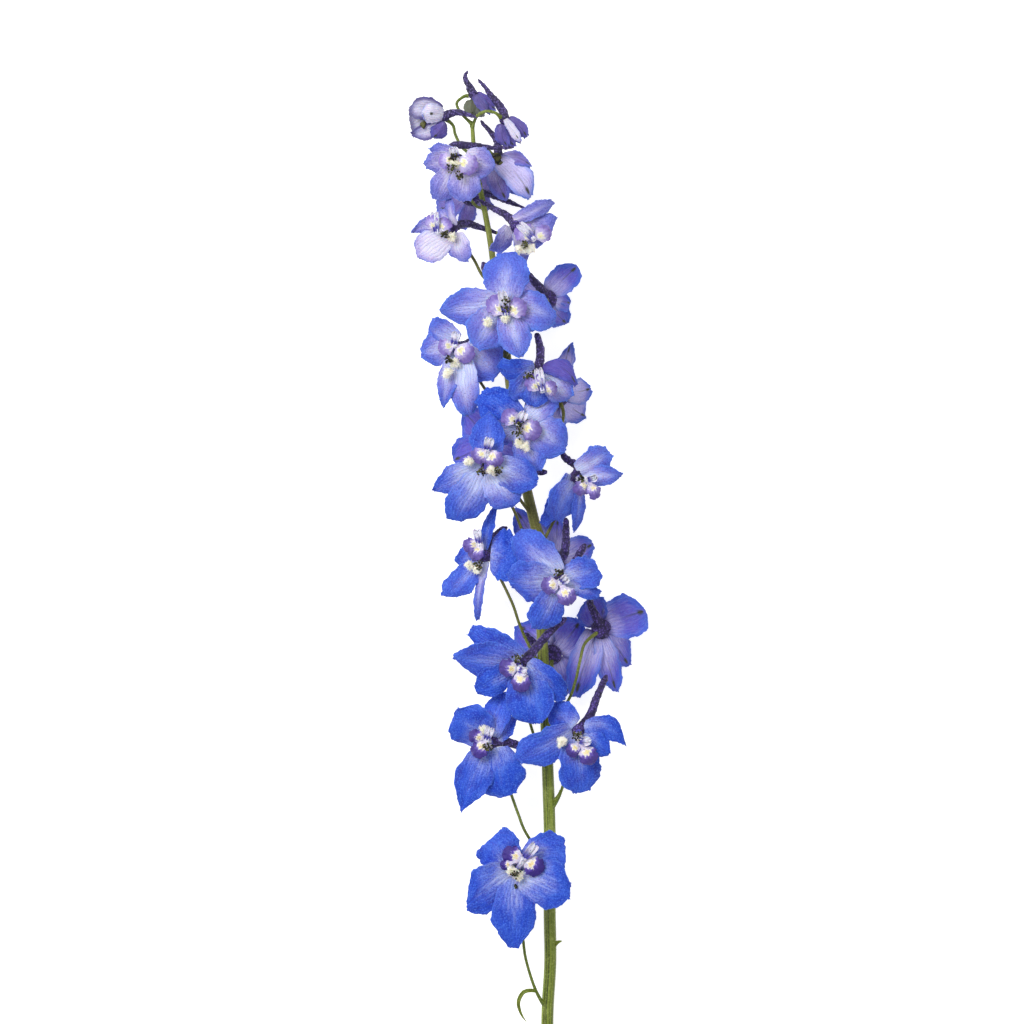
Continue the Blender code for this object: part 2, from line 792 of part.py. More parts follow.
def bract_piece(number, bract):
    """A small green leaflet, drawn as a tapered rod."""
    points = smooth_route(bract.route, BRACT_STEPS)
    taper = (1 - BRACT_TIP_SHARE) / BRACT_STEPS
    radii = [bract.width / 2 * (1 - taper * i) for i in range(BRACT_STEPS + 1)]
    return tube(f"bract_{number}", points, radii, BRACT_SIDES)


def stem_body(home):
    """The main stem with the stalks and leaflets that grow out of it."""
    route = smooth_route([stop[:3] for stop in STEM_ROUTE], STEM_STEPS)
    heights = [stop[1] for stop in STEM_ROUTE]
    diameters = [stop[3] for stop in STEM_ROUTE]
    radii = [float(numpy.interp(place.y, heights, diameters)) / 2 for place in route]
    stem = tube("stem_core", route, radii, STEM_SIDES)
    pieces = [stalk_piece(floret) for floret in FLORETS]
    pieces += [bract_piece(k, bract) for k, bract in enumerate(BRACTS)]
    return fuse("main_stem", stem, pieces, home)


def main():
    for obj in list(bpy.data.objects):
        bpy.data.objects.remove(obj)
    home = bpy.data.collections.new("delphinium_spike")
    bpy.context.scene.collection.children.link(home)
    green = material("stem_green", (0.16, 0.22, 0.05), 0.55)
    blue = material("sepal_blue", (0.06, 0.10, 0.72), 0.6)
    violet = material("sepal_violet", (0.22, 0.18, 0.62), 0.6)
    pale = material("eye_white", (0.75, 0.70, 0.80), 0.6)
    stem_body(home).data.materials.append(green)
    for number, floret in enumerate(FLORETS):
        sepals_body(floret, home).data.materials.append(blue if number < BLUE_FLORETS else violet)
        if floret.lobes is not None:
            eye_body(floret, home).data.materials.append(pale)


main()
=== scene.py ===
# %% [markdown]
# # A delphinium flower spike
# A cut spike of delphinium lies on its back on a pale table, and the camera looks straight down on it.
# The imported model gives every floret, bud and stalk its place. This lesson grows a fine version of each
# one around it: thin sepals with ruffled edges, hairy eyes with stamens, pebbled spurs and a ribbed stem.
# Some of these could be sculpted by hand, but 23 florets and three buds are easier to grow by rule, and
# every run then gives the same spike.

# %% Load the frame
import math
import random
from collections import namedtuple
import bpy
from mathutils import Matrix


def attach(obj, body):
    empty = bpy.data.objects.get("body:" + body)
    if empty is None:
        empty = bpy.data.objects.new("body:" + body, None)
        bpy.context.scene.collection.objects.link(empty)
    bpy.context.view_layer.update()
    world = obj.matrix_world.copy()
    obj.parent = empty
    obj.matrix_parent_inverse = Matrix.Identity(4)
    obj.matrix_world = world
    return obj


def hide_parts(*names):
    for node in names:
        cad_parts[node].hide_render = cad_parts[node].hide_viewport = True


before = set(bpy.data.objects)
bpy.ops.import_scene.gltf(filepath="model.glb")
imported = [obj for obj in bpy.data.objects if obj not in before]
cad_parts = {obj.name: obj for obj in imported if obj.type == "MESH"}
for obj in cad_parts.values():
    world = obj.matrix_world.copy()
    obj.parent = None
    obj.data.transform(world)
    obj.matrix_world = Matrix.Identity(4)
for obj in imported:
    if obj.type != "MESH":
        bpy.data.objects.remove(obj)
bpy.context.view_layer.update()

from types import SimpleNamespace

import bpy
import numpy
from mathutils import Vector, noise
from mathutils.geometry import interpolate_bezier

# %% [markdown]
# ## Camera
# The photo was taken with a long lens, square on to the spike. So the camera hangs two metres above the
# florets and looks straight down, with the tip of the spike towards the top of the picture. One pixel of
# the 1024 pixel frame is 0.42 mm there. Blender's Standard view shows colours as they are painted, where
# its default view would grey the blues.

# %% Camera
MM = 0.001
scene = bpy.context.scene
scene.view_settings.view_transform = "Standard"
FRAME_PIXELS = 1024
PIXEL = 0.42 * MM
SENSOR = 36
CAMERA_DISTANCE = 2.0
FLORET_LEVEL = 25 * MM
PHOTO_CENTRE = (-6.72 * MM, 29.4 * MM)
camera = bpy.data.objects.new("camera", bpy.data.cameras.new("camera"))
camera.data.sensor_width = SENSOR
camera.data.lens = SENSOR * CAMERA_DISTANCE / (FRAME_PIXELS * PIXEL)
camera.location = (*PHOTO_CENTRE, FLORET_LEVEL + CAMERA_DISTANCE)
scene.collection.objects.link(camera)
scene.camera = camera
print("lens:", round(camera.data.lens, 1), "mm")

# %% [markdown]
# ## Finishes from node trees
# A petal's colour depends on where you are on it, so it is worked out by nodes. A long tree is hard to
# read when every node is placed by hand. Here a value that varies over a surface is wrapped in a small
# class, and Python's own operators add the maths nodes. The same class serves the trees of Geometry Nodes
# further down. Values are smooth numbers from 0 to 1 wherever possible, so that mixing two colours by a
# mask stays simple.


# %% Values that vary over a surface
class Field:
    """A socket's value. Python operators on it add the nodes that work the result out."""

    def __init__(self, sheet, socket):
        self.sheet = sheet
        self.socket = socket

    def combine(self, operation, other, swapped=False):
        first, second = (other, self) if swapped else (self, other)
        kinds = {side.socket.type for side in (first, second) if isinstance(side, Field)}
        if "RGBA" in kinds:
            settings = {"data_type": "RGBA", "blend_type": operation}
            return self.sheet.node("ShaderNodeMix", settings, {0: 1.0, 6: first, 7: second}, 2)
        if "VECTOR" in kinds:
            return self.sheet.node("ShaderNodeVectorMath", {"operation": operation}, {0: first, 1: second})
        return self.sheet.node("ShaderNodeMath", {"operation": operation}, {0: first, 1: second})

    def __add__(self, other):
        return self.combine("ADD", other)

    def __radd__(self, other):
        return self.combine("ADD", other, True)

    def __sub__(self, other):
        return self.combine("SUBTRACT", other)

    def __rsub__(self, other):
        return self.combine("SUBTRACT", other, True)

    def __mul__(self, other):
        return self.combine("MULTIPLY", other)

    def __rmul__(self, other):
        return self.combine("MULTIPLY", other, True)

    def __truediv__(self, other):
        return self.combine("DIVIDE", other)

    def maths(self, operation, *others):
        """A Math node with one of the operations that Python has no sign for."""
        sockets = dict(enumerate((self, *others)))
        return self.sheet.node("ShaderNodeMath", {"operation": operation}, sockets)

    def lines(self):
        """Even lines: 0 on each of them and 1 halfway between."""
        return self.maths("SINE").maths("ABSOLUTE")

    def rise(self, low, high):
        """A mask that climbs smoothly from 0 at low to 1 at high, or falls where low is the larger."""
        settings = {"interpolation_type": "SMOOTHSTEP"}
        start, end = min(low, high), max(low, high)
        mask = self.sheet.node("ShaderNodeMapRange", settings, {0: self, 1: start, 2: end, 3: 0.0, 4: 1.0})
        return mask if low < high else 1 - mask

    def part(self, name):
        """Another output of the node that made this value."""
        return Field(self.sheet, self.socket.node.outputs[name])

    def axes(self):
        """The three numbers of a vector."""
        split = self.sheet.node("ShaderNodeSeparateXYZ", {}, {0: self})
        return split.part("X"), split.part("Y"), split.part("Z")


# %% A node tree that grows one node at a time
class NodeSheet:
    """A node tree, with one method that adds any node to it."""

    def __init__(self, tree):
        self.tree = tree

    def node(self, kind, settings=None, sockets=None, out=0):
        made = self.tree.nodes.new(kind)
        for name, value in (settings or {}).items():
            setattr(made, name, value)
        for key, value in (sockets or {}).items():
            socket = made.inputs[key]
            if isinstance(value, Field):
                self.tree.links.new(value.socket, socket)
            elif socket.type == "RGBA":
                shade = value if isinstance(value, tuple) else (value,) * 3
                socket.default_value = (*shade[:3], 1)
            elif socket.type == "VECTOR" and not isinstance(value, (tuple, list, Vector)):
                socket.default_value = (value,) * 3
            else:
                socket.default_value = value
        return Field(self, made.outputs[out])

    def mix(self, first, second, mask):
        """A colour between two others."""
        settings = {"data_type": "RGBA", "clamp_factor": True}
        return self.node("ShaderNodeMix", settings, {0: mask, 6: first, 7: second}, 2)

    def coats(self, colour, *coats):
        """Other colours laid over a first one in turn, each as far as its own mask goes."""
        for shade, mask in coats:
            colour = self.mix(colour, shade, mask)
        return colour

    def grain(self, where, scale, detail=2.0, roughness=0.5):
        """Soft noise from 0 to 1 at so many lumps a metre, or a unit of the map."""
        sockets = {"Vector": where, "Scale": scale, "Detail": detail, "Roughness": roughness}
        return self.node("ShaderNodeTexNoise", {}, sockets)

    def cells(self, where, scale):
        """How far it is to the nearest of many scattered points."""
        return self.node("ShaderNodeTexVoronoi", {"feature": "F1"}, {"Vector": where, "Scale": scale})

    def vector(self, x, y, z):
        """A vector from three numbers."""
        return self.node("ShaderNodeCombineXYZ", {}, {0: x, 1: y, 2: z})

    def join(self, first, second):
        """Two branches of geometry as one."""
        joined = self.node("GeometryNodeJoinGeometry", {}, {0: first})
        self.tree.links.new(second.socket, joined.socket.node.inputs[0])
        return joined


# %% Colours as light
def tint(red, green, blue):
    """A colour as a screen shows it, 0 to 255, turned into the light that it stands for."""
    return tuple(((c / 255 + 0.055) / 1.055) ** 2.4 if c > 10 else c / 3295 for c in (red, green, blue))


print("azure as light:", [round(share, 3) for share in tint(30, 72, 194)])

# %% [markdown]
# ## Light and table
# The spike lies on a white table, which is lit until it is almost pure white, as in the photo. Bright
# lamps alone would burn the petals out, so the table also glows a little by itself. The light is a wide
# panel at the upper left, a weaker one at the lower right, and a bright room all round, which keeps the
# shadows soft. The room is darker below, so that the petals keep some shade.


# %% Light and table
def panel(name, place, size, watts):
    """A square light panel that points at the middle of the spike."""
    lamp = bpy.data.objects.new(name, bpy.data.lights.new(name, "AREA"))
    lamp.data.size = size
    lamp.data.energy = watts
    lamp.location = place
    lamp.rotation_euler = (-Vector(place)).to_track_quat("-Z", "Y").to_euler()
    scene.collection.objects.link(lamp)


panel("window", (-0.8, 0.7, 1.5), 0.9, 29)
panel("reflector", (1.0, -0.6, 1.3), 1.2, 3)
room = bpy.data.worlds.new("room")
room.use_nodes = True
sky = NodeSheet(room.node_tree)
_, _, above = sky.node("ShaderNodeTexCoord").part("Generated").axes()
glow = sky.mix((0.26, 0.26, 0.28), (0.66, 0.66, 0.66), above.rise(0.0, 0.9))
room.node_tree.links.new(glow.socket, room.node_tree.nodes["Background"].inputs["Color"])
scene.world = room

TABLE_HALF = 4.0
table_mesh = bpy.data.meshes.new("table")
corners = [(-1, -1), (1, -1), (1, 1), (-1, 1)]
table_mesh.from_pydata([(x * TABLE_HALF, y * TABLE_HALF, 0) for x, y in corners], [], [(0, 1, 2, 3)])
table = bpy.data.objects.new("table", table_mesh)
scene.collection.objects.link(table)
print("lights: 2 panels and the room")

# %% [markdown]
# ## What a finish can read
# Every blade in this lesson carries a map called petal: across the blade from 0 to 1, and along it from 0
# at its foot to 1 at its tip. It also carries the values called habit, which say whether a face is on the
# inner side of the flower, how far its pale foot reaches, and a chance number that keeps two petals from
# looking the same. One more value, tone, goes from deep blue at 0 to light violet at 1, and below 0
# through a bud's dusky violet to green. Painting all this by hand would work for one flower, but rules on
# these values colour every floret and bud.


# %% Start a finish, with the table's as the first
class Finish(NodeSheet):
    """A material whose colour, roughness and relief come from nodes."""

    def __init__(self, name, **constants):
        self.material = bpy.data.materials.new(name)
        self.material.use_nodes = True
        super().__init__(self.material.node_tree)
        self.shader = self.material.node_tree.nodes["Principled BSDF"]
        for socket, value in constants.items():
            self.shader.inputs[socket.replace("_", " ")].default_value = value

    def place(self):
        """Where a point is on the object, in metres."""
        return self.node("ShaderNodeTexCoord").part("Object")

    def petal(self):
        """Across and along a blade, each from 0 to 1."""
        across, along, _ = self.node("ShaderNodeUVMap", {"uv_map": "petal"}).axes()
        return across, along

    def value(self, name, output="Fac"):
        """A value that the mesh carries."""
        return self.node("ShaderNodeAttribute", {"attribute_name": name}).part(output)

    def wear(self, colour, roughness, height, strength, depth):
        """Plug the colour, roughness and relief in. The depth of the relief is in millimetres."""
        sockets = {"Height": height, "Strength": strength, "Distance": depth * MM}
        bump = self.node("ShaderNodeBump", {}, sockets)
        self.tree.links.new(colour.socket, self.shader.inputs["Base Color"])
        self.tree.links.new(roughness.socket, self.shader.inputs["Roughness"])
        self.tree.links.new(bump.socket, self.shader.inputs["Normal"])
        return self.material


def table_finish():
    """Matt white with the faintest specks, and a glow of its own."""
    finish = Finish("white_light_table", Specular_IOR_Level=0.2, Emission_Color=(1, 1, 1, 1),
                    Emission_Strength=0.7)
    speck = finish.grain(finish.place(), 900.0)
    colour = finish.mix(tint(214, 214, 214), tint(220, 220, 220), speck)
    return finish.wear(colour, 0.75 + 0.1 * speck, speck, 0.05, 0.05)


table_mesh.materials.append(table_finish())
print("table:", table_mesh.materials[0].name)

# %% [markdown]
# ## Sepals
# The showy blades of a delphinium aren't petals but sepals. Inside they are azure to ultramarine, with a
# white to lilac foot from which fine veins fan out, and a skin of tiny cells like sand, light and dark; the
# light ones are painted sparkle.
# Outside they are duller and more violet, with dark veins, and many end in a brown-green spot, where the
# bud was still green. The veins are lines of equal distance across the blade. They crowd together at the
# narrow foot by themselves, because the map does. The finish is long, so its masks, its inner side and
# its outer side are worked out by a function each.

# %% Masks of a sepal
VEINS = 15
FINE_VEINS = 37
CELLS_A_METRE = 1600.0


def sepal_masks(finish):
    """Where the veins, blotches, cells and borders lie. Off is 0 on the midrib and 1 at the edge."""
    across, along = finish.petal()
    inner, reach, chance = finish.value("habit", "Vector").axes()
    mood = finish.value("tone")
    side = (across - 0.5) * 2
    off = side.maths("ABSOLUTE")
    drift = finish.grain(finish.vector(side * 1.5, along * 3, chance * 40), 1.0) - 0.5
    line = (side * VEINS + drift * 7 + chance * 6).lines()
    fine_line = (side * FINE_VEINS + drift * 16).lines()
    dash = finish.grain(finish.vector(side * VEINS, along * 5, chance * 80), 1.0, 4.0, 0.65)
    return SimpleNamespace(
        along=along, off=off, inner=inner, reach=reach, mood=mood, tone=mood.maths("ABSOLUTE"),
        drift=drift, line=line, vein=line.rise(0.3, 0.0), dash=dash.rise(0.4, 0.68),
        twig=fine_line.rise(0.45, 0.0) * along.rise(0.2, 0.6),
        blotch=finish.grain(finish.vector(side * 1.2, along * 2, chance * 60), 1.6, 3.0),
        sand=finish.grain(finish.place(), CELLS_A_METRE, 3.0, 0.7),
        border=off.rise(0.6, 1.0) * 0.7 + along.rise(0.7, 1.0) * 0.5,
        foot=(along - reach + off * 0.25 + drift * 0.3).rise(0.16, -0.2))


# %% The inner side of a sepal
def sepal_face(finish, at, deep, body, light, soft, pale, rim):
    """Blue blotches, a lilac glow and a pale, streaked foot, dark cells, light cells of painted sparkle, and
    a painted lit edge.
    """
    tone, off, along, painted_sparkle = at.tone, at.off, at.along, at.sand.rise(0.45, 0.65)
    glow = (along - at.reach - 0.25 + off * 0.32 + at.drift * 0.5).rise(0.3, -0.3)
    ridge = off.rise(0.5, 0.0) * along.rise(0.9, 0.4)
    bud_rim = (off.rise(0.5, 0.85) + along.rise(0.8, 0.95)).maths("MINIMUM", 1.0)
    return finish.coats(
        deep,
        (body, at.blotch.rise(0.2, 0.5)),
        (soft, tone * 0.9),
        (light, at.blotch.rise(0.45, 0.85) * 0.4),
        (deep, off.maths("POWER", 3.0) * 0.3 * (1 - tone)),
        (rim, at.border * (0.1 + tone * 0.5)),
        (tint(160, 134, 200), glow * (0.1 + tone * 0.8)),
        (pale, at.dash * ridge * (0.12 + tone * 0.5)),
        # The light cells mixed into the pale foot here and below are painted sparkle.
        (pale, glow * (0.06 + at.dash * 0.3 + painted_sparkle * 0.2)),
        (pale, off.rise(0.4, 0.0) * along.rise(1.0, 0.5) * tone * 0.4),
        (pale, at.foot * (0.42 + tone * 0.25 + at.dash * 0.3 + painted_sparkle * 0.2)),
        (rim, at.border * at.border * tone * 0.5),
        (deep, at.vein * (0.16 + at.foot * 0.28)),
        # Painted highlight: a lighter band along the edge, where light would shine through the thin rim.
        (light, off.rise(0.92, 1.0) * 0.35),
        # Painted sparkle: the lightest cells lightened, as if they caught the light.
        (light, at.sand.rise(0.5, 0.68) * 0.62),
        (deep, at.sand.rise(0.5, 0.32) * 0.58 * (1 - at.foot * 0.6)),
        (tint(86, 72, 148), bud_rim * at.mood.rise(-0.25, -0.4) * 0.9))


# %% The outer side of a sepal
def sepal_back(finish, at, body, light, rim, outer):
    """Duller than the inner side, with dark veins that gather at the foot. A bud's is dusky violet."""
    off, along = at.off, at.along
    bluer = (at.blotch * 0.5 + off * off * 0.6 + along.rise(0.4, 1.0) * 0.3).rise(0.4, 0.8)
    pale_foot = (along - at.reach + off * 0.2 + at.drift * 0.3).rise(0.35, -0.25)
    return finish.coats(
        outer,
        (body, bluer * 0.8),
        (tint(206, 198, 238), pale_foot * (0.45 + at.dash * 0.3 + at.tone * 0.35) + at.dash * 0.14),
        (rim, at.border * (0.3 + at.tone * 0.6)),
        (tint(70, 48, 140), at.vein * (0.16 + along.rise(0.8, 0.1) * 0.3) + at.twig * 0.1),
        (tint(60, 42, 96), along.rise(0.17, 0.0) * 0.8),
        # Painted sparkle: the lightest cells of the outer side lightened, as if they caught the light.
        (light, at.sand.rise(0.5, 0.68) * 0.42),
        (outer, at.sand.rise(0.5, 0.32) * 0.5),
        (tint(76, 62, 140), at.mood.rise(-0.02, -0.2) * (0.72 - at.dash * 0.3)))


# %% Sepal finish
def sepal_finish(name, deep, body, light, soft, pale, rim, outer):
    """A sepal's skin from its darkest, usual, lightest, softest, foot and rim colours, and its outer one."""
    finish = Finish(name, Subsurface_Weight=0.08, Subsurface_Scale=0.6 * MM, Sheen_Weight=0.04,
                    Sheen_Roughness=0.4, Specular_IOR_Level=0.22)
    at = sepal_masks(finish)
    face = sepal_face(finish, at, deep, body, light, soft, pale, rim)
    back = sepal_back(finish, at, body, light, rim, outer)
    green = at.mood.rise(-0.25, -0.8) * (0.85 - at.inner * (0.4 + at.foot * 0.3))
    spotted = (1 - at.inner + at.reach.rise(0.95, 1.05)).maths("MINIMUM", 1.0)
    marked = at.along + (at.reach - 1).maths("MAXIMUM", 0.0)
    rib = at.off.rise(0.07, 0.015) * marked.rise(0.3, 0.7) * 0.6
    spot = at.off.rise(0.24, 0.08) * marked.rise(0.76, 0.84)
    brown = (spot + rib) * marked.rise(0.96, 0.89) * spotted * 0.85
    colour = finish.coats(back, (face, at.inner), (tint(104, 110, 72), green), (tint(62, 62, 44), brown))
    relief = at.sand * 0.35 + at.line * 0.4 + at.blotch * 0.3
    return finish.wear(colour, 0.5 + 0.16 * at.sand, relief, 0.6, 0.5)


blue_skin = sepal_finish("azure_sepal", tint(24, 38, 150), tint(30, 72, 194), tint(90, 132, 228),
                         tint(112, 112, 198), tint(206, 214, 240), tint(76, 120, 214), tint(94, 84, 192))
violet_skin = sepal_finish("violet_sepal", tint(58, 56, 150), tint(86, 94, 192), tint(140, 146, 220),
                           tint(144, 138, 202), tint(226, 222, 234), tint(88, 130, 218), tint(108, 92, 166))
print("sepal finishes:", blue_skin.name, violet_skin.name)

# %% [markdown]
# ## Spur, stem and the pale parts of the eye
# The spur behind each floret is dark purple and pebbled like a raisin, with a painted highlight on each
# pebble and painted shade between them. The stem and its stalks are olive, with specks of painted
# highlight and brownish painted shade where the florets crowd. The two lower petals of the eye are lilac
# to violet with a dark rim and a cream spot, the upper two go from violet to grey-white. Filaments are
# pale, anthers are almost black with cream pollen. All of them could share one finish with many masks,
# but a finish each is easier to tune against a photo.


# %% Spur and stem finishes
def spur_finish():
    """Dark purple lumps, each with a painted highlight on top and painted shade in the creases between them.
    """
    finish = Finish("pebbled_spur", Specular_IOR_Level=0.4)
    where = finish.place()
    lump = finish.cells(where, 1000.0)
    cloud = finish.grain(where, 260.0, 3.0)
    tone = finish.value("tone")
    colour = finish.coats(
        tint(42, 26, 84),
        (tint(88, 66, 152), cloud.rise(0.35, 0.7)),
        (tint(84, 78, 118), tone * 0.5),
        # Painted shade in the low creases between the pebbles.
        (tint(26, 18, 48), lump.rise(0.35, 0.6) * 0.7),
        # Painted highlight on the raised middle of each pebble.
        (tint(160, 146, 212), lump.rise(0.35, 0.0) * 0.55))
    return finish.wear(colour, 0.5 + 0.2 * cloud, 1 - lump, 0.9, 0.7)


def stem_finish():
    """Olive streaks on stem and stalks, pale specks of painted highlight, brown painted shade where florets
    crowd.
    """
    finish = Finish("olive_stem", Specular_IOR_Level=0.35, Subsurface_Weight=0.05, Subsurface_Scale=0.8 * MM)
    where = finish.place()
    _, height, _ = where.axes()
    across, along = finish.petal()
    streak = finish.grain(finish.vector(across * 26, along * 4, 0.0), 1.0, 3.0)
    cloud = finish.grain(where, 130.0, 3.0)
    sand = finish.grain(where, 1300.0, 2.0, 0.7)
    # The band of height where the florets crowd over the stem, which gets painted shade.
    ragged_height = height + cloud * 0.02
    crowd = ragged_height.rise(-0.05, 0.02) * ragged_height.rise(0.19, 0.13)
    colour = finish.coats(
        tint(52, 62, 8),
        (tint(124, 140, 42), streak.rise(0.32, 0.66)),
        (tint(60, 80, 14), finish.value("tone") * 0.5),
        # Pale patches and specks of painted highlight.
        (tint(172, 184, 100), cloud.rise(0.42, 0.8) * 0.35 + sand.rise(0.5, 0.66) * 0.35),
        # Brownish painted shade in the band under the florets, with a few random brown patches.
        (tint(104, 84, 52), crowd * 0.45 + cloud.rise(0.66, 0.85) * 0.25))
    return finish.wear(colour, 0.5 + 0.15 * cloud, streak + sand * 0.5, 0.5, 0.3)


def cut_finish():
    """The pale, open cells of the cut end."""
    finish = Finish("cut_stem_end", Specular_IOR_Level=0.4)
    where = finish.place()
    cloud = finish.grain(where, 1500.0, 3.0)
    colour = finish.mix(tint(190, 198, 140), tint(150, 164, 92), cloud)
    return finish.wear(colour, 0.6 + 0.1 * cloud, finish.cells(where, 2500.0), 0.4, 0.2)


spur_skin = spur_finish()
stem_skin = stem_finish()
cut_skin = cut_finish()
print("finishes:", spur_skin.name, stem_skin.name, cut_skin.name)


# %% Lower petal finish
def lobe_finish():
    """A lower petal: a violet disc, darkest at its far rim, with a ragged cream spot towards its claw."""
    finish = Finish("eye_lobe", Subsurface_Weight=0.1, Subsurface_Scale=0.5 * MM, Sheen_Weight=0.05)
    across, along = finish.petal()
    _, _, chance = finish.value("habit", "Vector").axes()
    tone = finish.value("tone")
    where = finish.place()
    ahead = (along - 0.6) / 0.4
    wide = (1 - ahead * ahead).maths("MAXIMUM", 0.05).maths("SQRT")
    side = (across - 0.5) * 2 * wide
    drift = finish.grain(finish.vector(side * 3, ahead * 3, chance * 30), 1.2, 3.0, 0.6) - 0.5
    near = ahead + 0.42
    teeth = (side * 17 + drift * 8 + chance * 20).maths("SINE") * 0.09
    out = ahead + side * side * 0.7 + drift * 0.5 + teeth
    spot = (side * side * 1.1 + near * near * 1.7).maths("SQRT") + drift * 0.8 + teeth
    sand = finish.grain(where, CELLS_A_METRE, 2.0, 0.7)
    line = (side * 24 + drift * 12).lines().rise(0.5, 0.0)
    field = finish.mix(tint(96, 70, 180), tint(198, 188, 228), tone)
    rim = finish.mix(tint(44, 16, 122), tint(146, 126, 204), tone)
    cream = finish.mix(tint(232, 208, 130), tint(228, 228, 160), tone)
    colour = finish.coats(
        field,
        (rim, (out - tone * 0.4).rise(-0.15, 0.4)),
        (rim, line * 0.3),
        (tint(222, 216, 232), out.rise(-0.02, -0.22) * (0.8 - tone * 0.5)),
        (tint(238, 234, 232), spot.rise(0.56, 0.38) * 0.95),
        (cream, spot.rise(0.44, 0.14) * 0.9),
        (rim, sand.rise(0.46, 0.28) * 0.6))
    return finish.wear(colour, 0.5 + 0.1 * sand, sand + drift, 0.7, 0.4)


lobe_skin = lobe_finish()
print("lower petals:", lobe_skin.name)


# %% Upper petal finish
def upper_finish():
    """An upper petal: violet at its foot, grey-white at its tip, with dark streaks."""
    finish = Finish("eye_upper_petal", Subsurface_Weight=0.1, Subsurface_Scale=0.5 * MM)
    across, along = finish.petal()
    _, _, chance = finish.value("habit", "Vector").axes()
    sand = finish.grain(finish.place(), 1500.0, 2.0, 0.7)
    patch = finish.grain(finish.vector(across * 4, along * 3, chance * 30), 1.0, 2.0)
    line = ((across - 0.5) * 13 + patch * 9).lines()
    colour = finish.coats(
        tint(72, 66, 164),
        (tint(212, 210, 226), (along + patch * 0.5).rise(0.45, 0.85)),
        (tint(60, 56, 116), line.rise(0.45, 0.05) * 0.7),
        (tint(246, 246, 248), sand.rise(0.5, 0.7) * along * 0.6))
    return finish.wear(colour, 0.5 + 0.1 * sand, sand + line * 0.5, 0.5, 0.3)


upper_skin = upper_finish()
print("upper petals:", upper_skin.name)


# %% Pale parts and anthers
def pale_finish(name, low, high, dark, streaks):
    """A pale part of the eye with darker lines and a darker end."""
    finish = Finish(name, Subsurface_Weight=0.1, Subsurface_Scale=0.5 * MM, Sheen_Weight=0.1)
    across, along = finish.petal()
    where = finish.place()
    sand = finish.grain(where, 1500.0, 2.0, 0.7)
    line = ((across - 0.5) * 16 + sand * 3).lines()
    darker = along.rise(0.7, 1.1) * 0.6 + line.rise(0.4, 0.0) * streaks
    colour = finish.coats(low, (high, sand), (dark, darker))
    return finish.wear(colour, 0.5 + 0.1 * sand, sand + line * 0.5, 0.4, 0.2)


def anther_finish():
    """Nearly black, with olive patches and grains of cream pollen."""
    finish = Finish("anther", Specular_IOR_Level=0.4)
    where = finish.place()
    pollen = finish.cells(where, 2600.0)
    cloud = finish.grain(where, 500.0)
    colour = finish.coats(tint(24, 26, 20), (tint(92, 92, 48), cloud.rise(0.42, 0.64)),
                          (tint(214, 208, 176), pollen.rise(0.22, 0.08) * 0.5))
    return finish.wear(colour, 0.7 + 0.1 * cloud, 1 - pollen, 0.8, 0.2)


filament_skin = pale_finish("filament", tint(206, 204, 216), tint(244, 242, 238), tint(150, 140, 180), 0.2)
beard_skin = pale_finish("beard_hair", tint(238, 232, 210), tint(250, 248, 240), tint(236, 222, 170), 0.0)
fluff_skin = pale_finish("fluff", tint(222, 216, 206), tint(250, 249, 236), tint(190, 184, 132), 0.3)
down_skin = pale_finish("stem_down", tint(150, 160, 90), tint(190, 198, 130), tint(200, 204, 160), 0.0)
anther_skin = anther_finish()
print("finishes so far:", len(bpy.data.materials))

# %% [markdown]
# ## Where everything grows
# The frame gives each node's box, but not the line of a stalk or the tip of a sepal. So the lines and
# tips are repeated here in millimetres, as the part's own source has them: the main stem, and for each
# floret its hub, the way it faces, its stalk, its spur, its five sepal tips with their widths, and
# whether its eye is seen. A floret whose eye is hidden faces the table, and the buds and the youngest
# floret have none that shows.

# %% Stem route
STEM_ROUTE = [
    (8.3, -215.5, 2.5, 5.0), (8.3, -184, 5.2, 5.0), (9.5, -161, 7.8, 5.0), (9.2, -138, 10.3, 5.0),
    (9.2, -106, 13.6, 5.0), (8.3, -78, 16.3, 4.8), (7.3, -50, 18.8, 4.7), (5.9, -20, 21.0, 4.6),
    (6.0, 12, 22.8, 4.5), (2.5, 26, 23.4, 4.4), (-3.0, 50, 24.0, 4.2), (-6.0, 72, 24.3, 4.1),
    (-9.0, 94, 24.5, 4.0), (-12.0, 112, 24.3, 3.4), (-15.4, 140, 24.0, 2.5), (-18.4, 157, 23.5, 2.3),
    (-22.0, 175, 23.2, 2.1), (-23.5, 193, 23.0, 1.6),
]
print("stem stops, each with its three places and its width:", len(STEM_ROUTE))

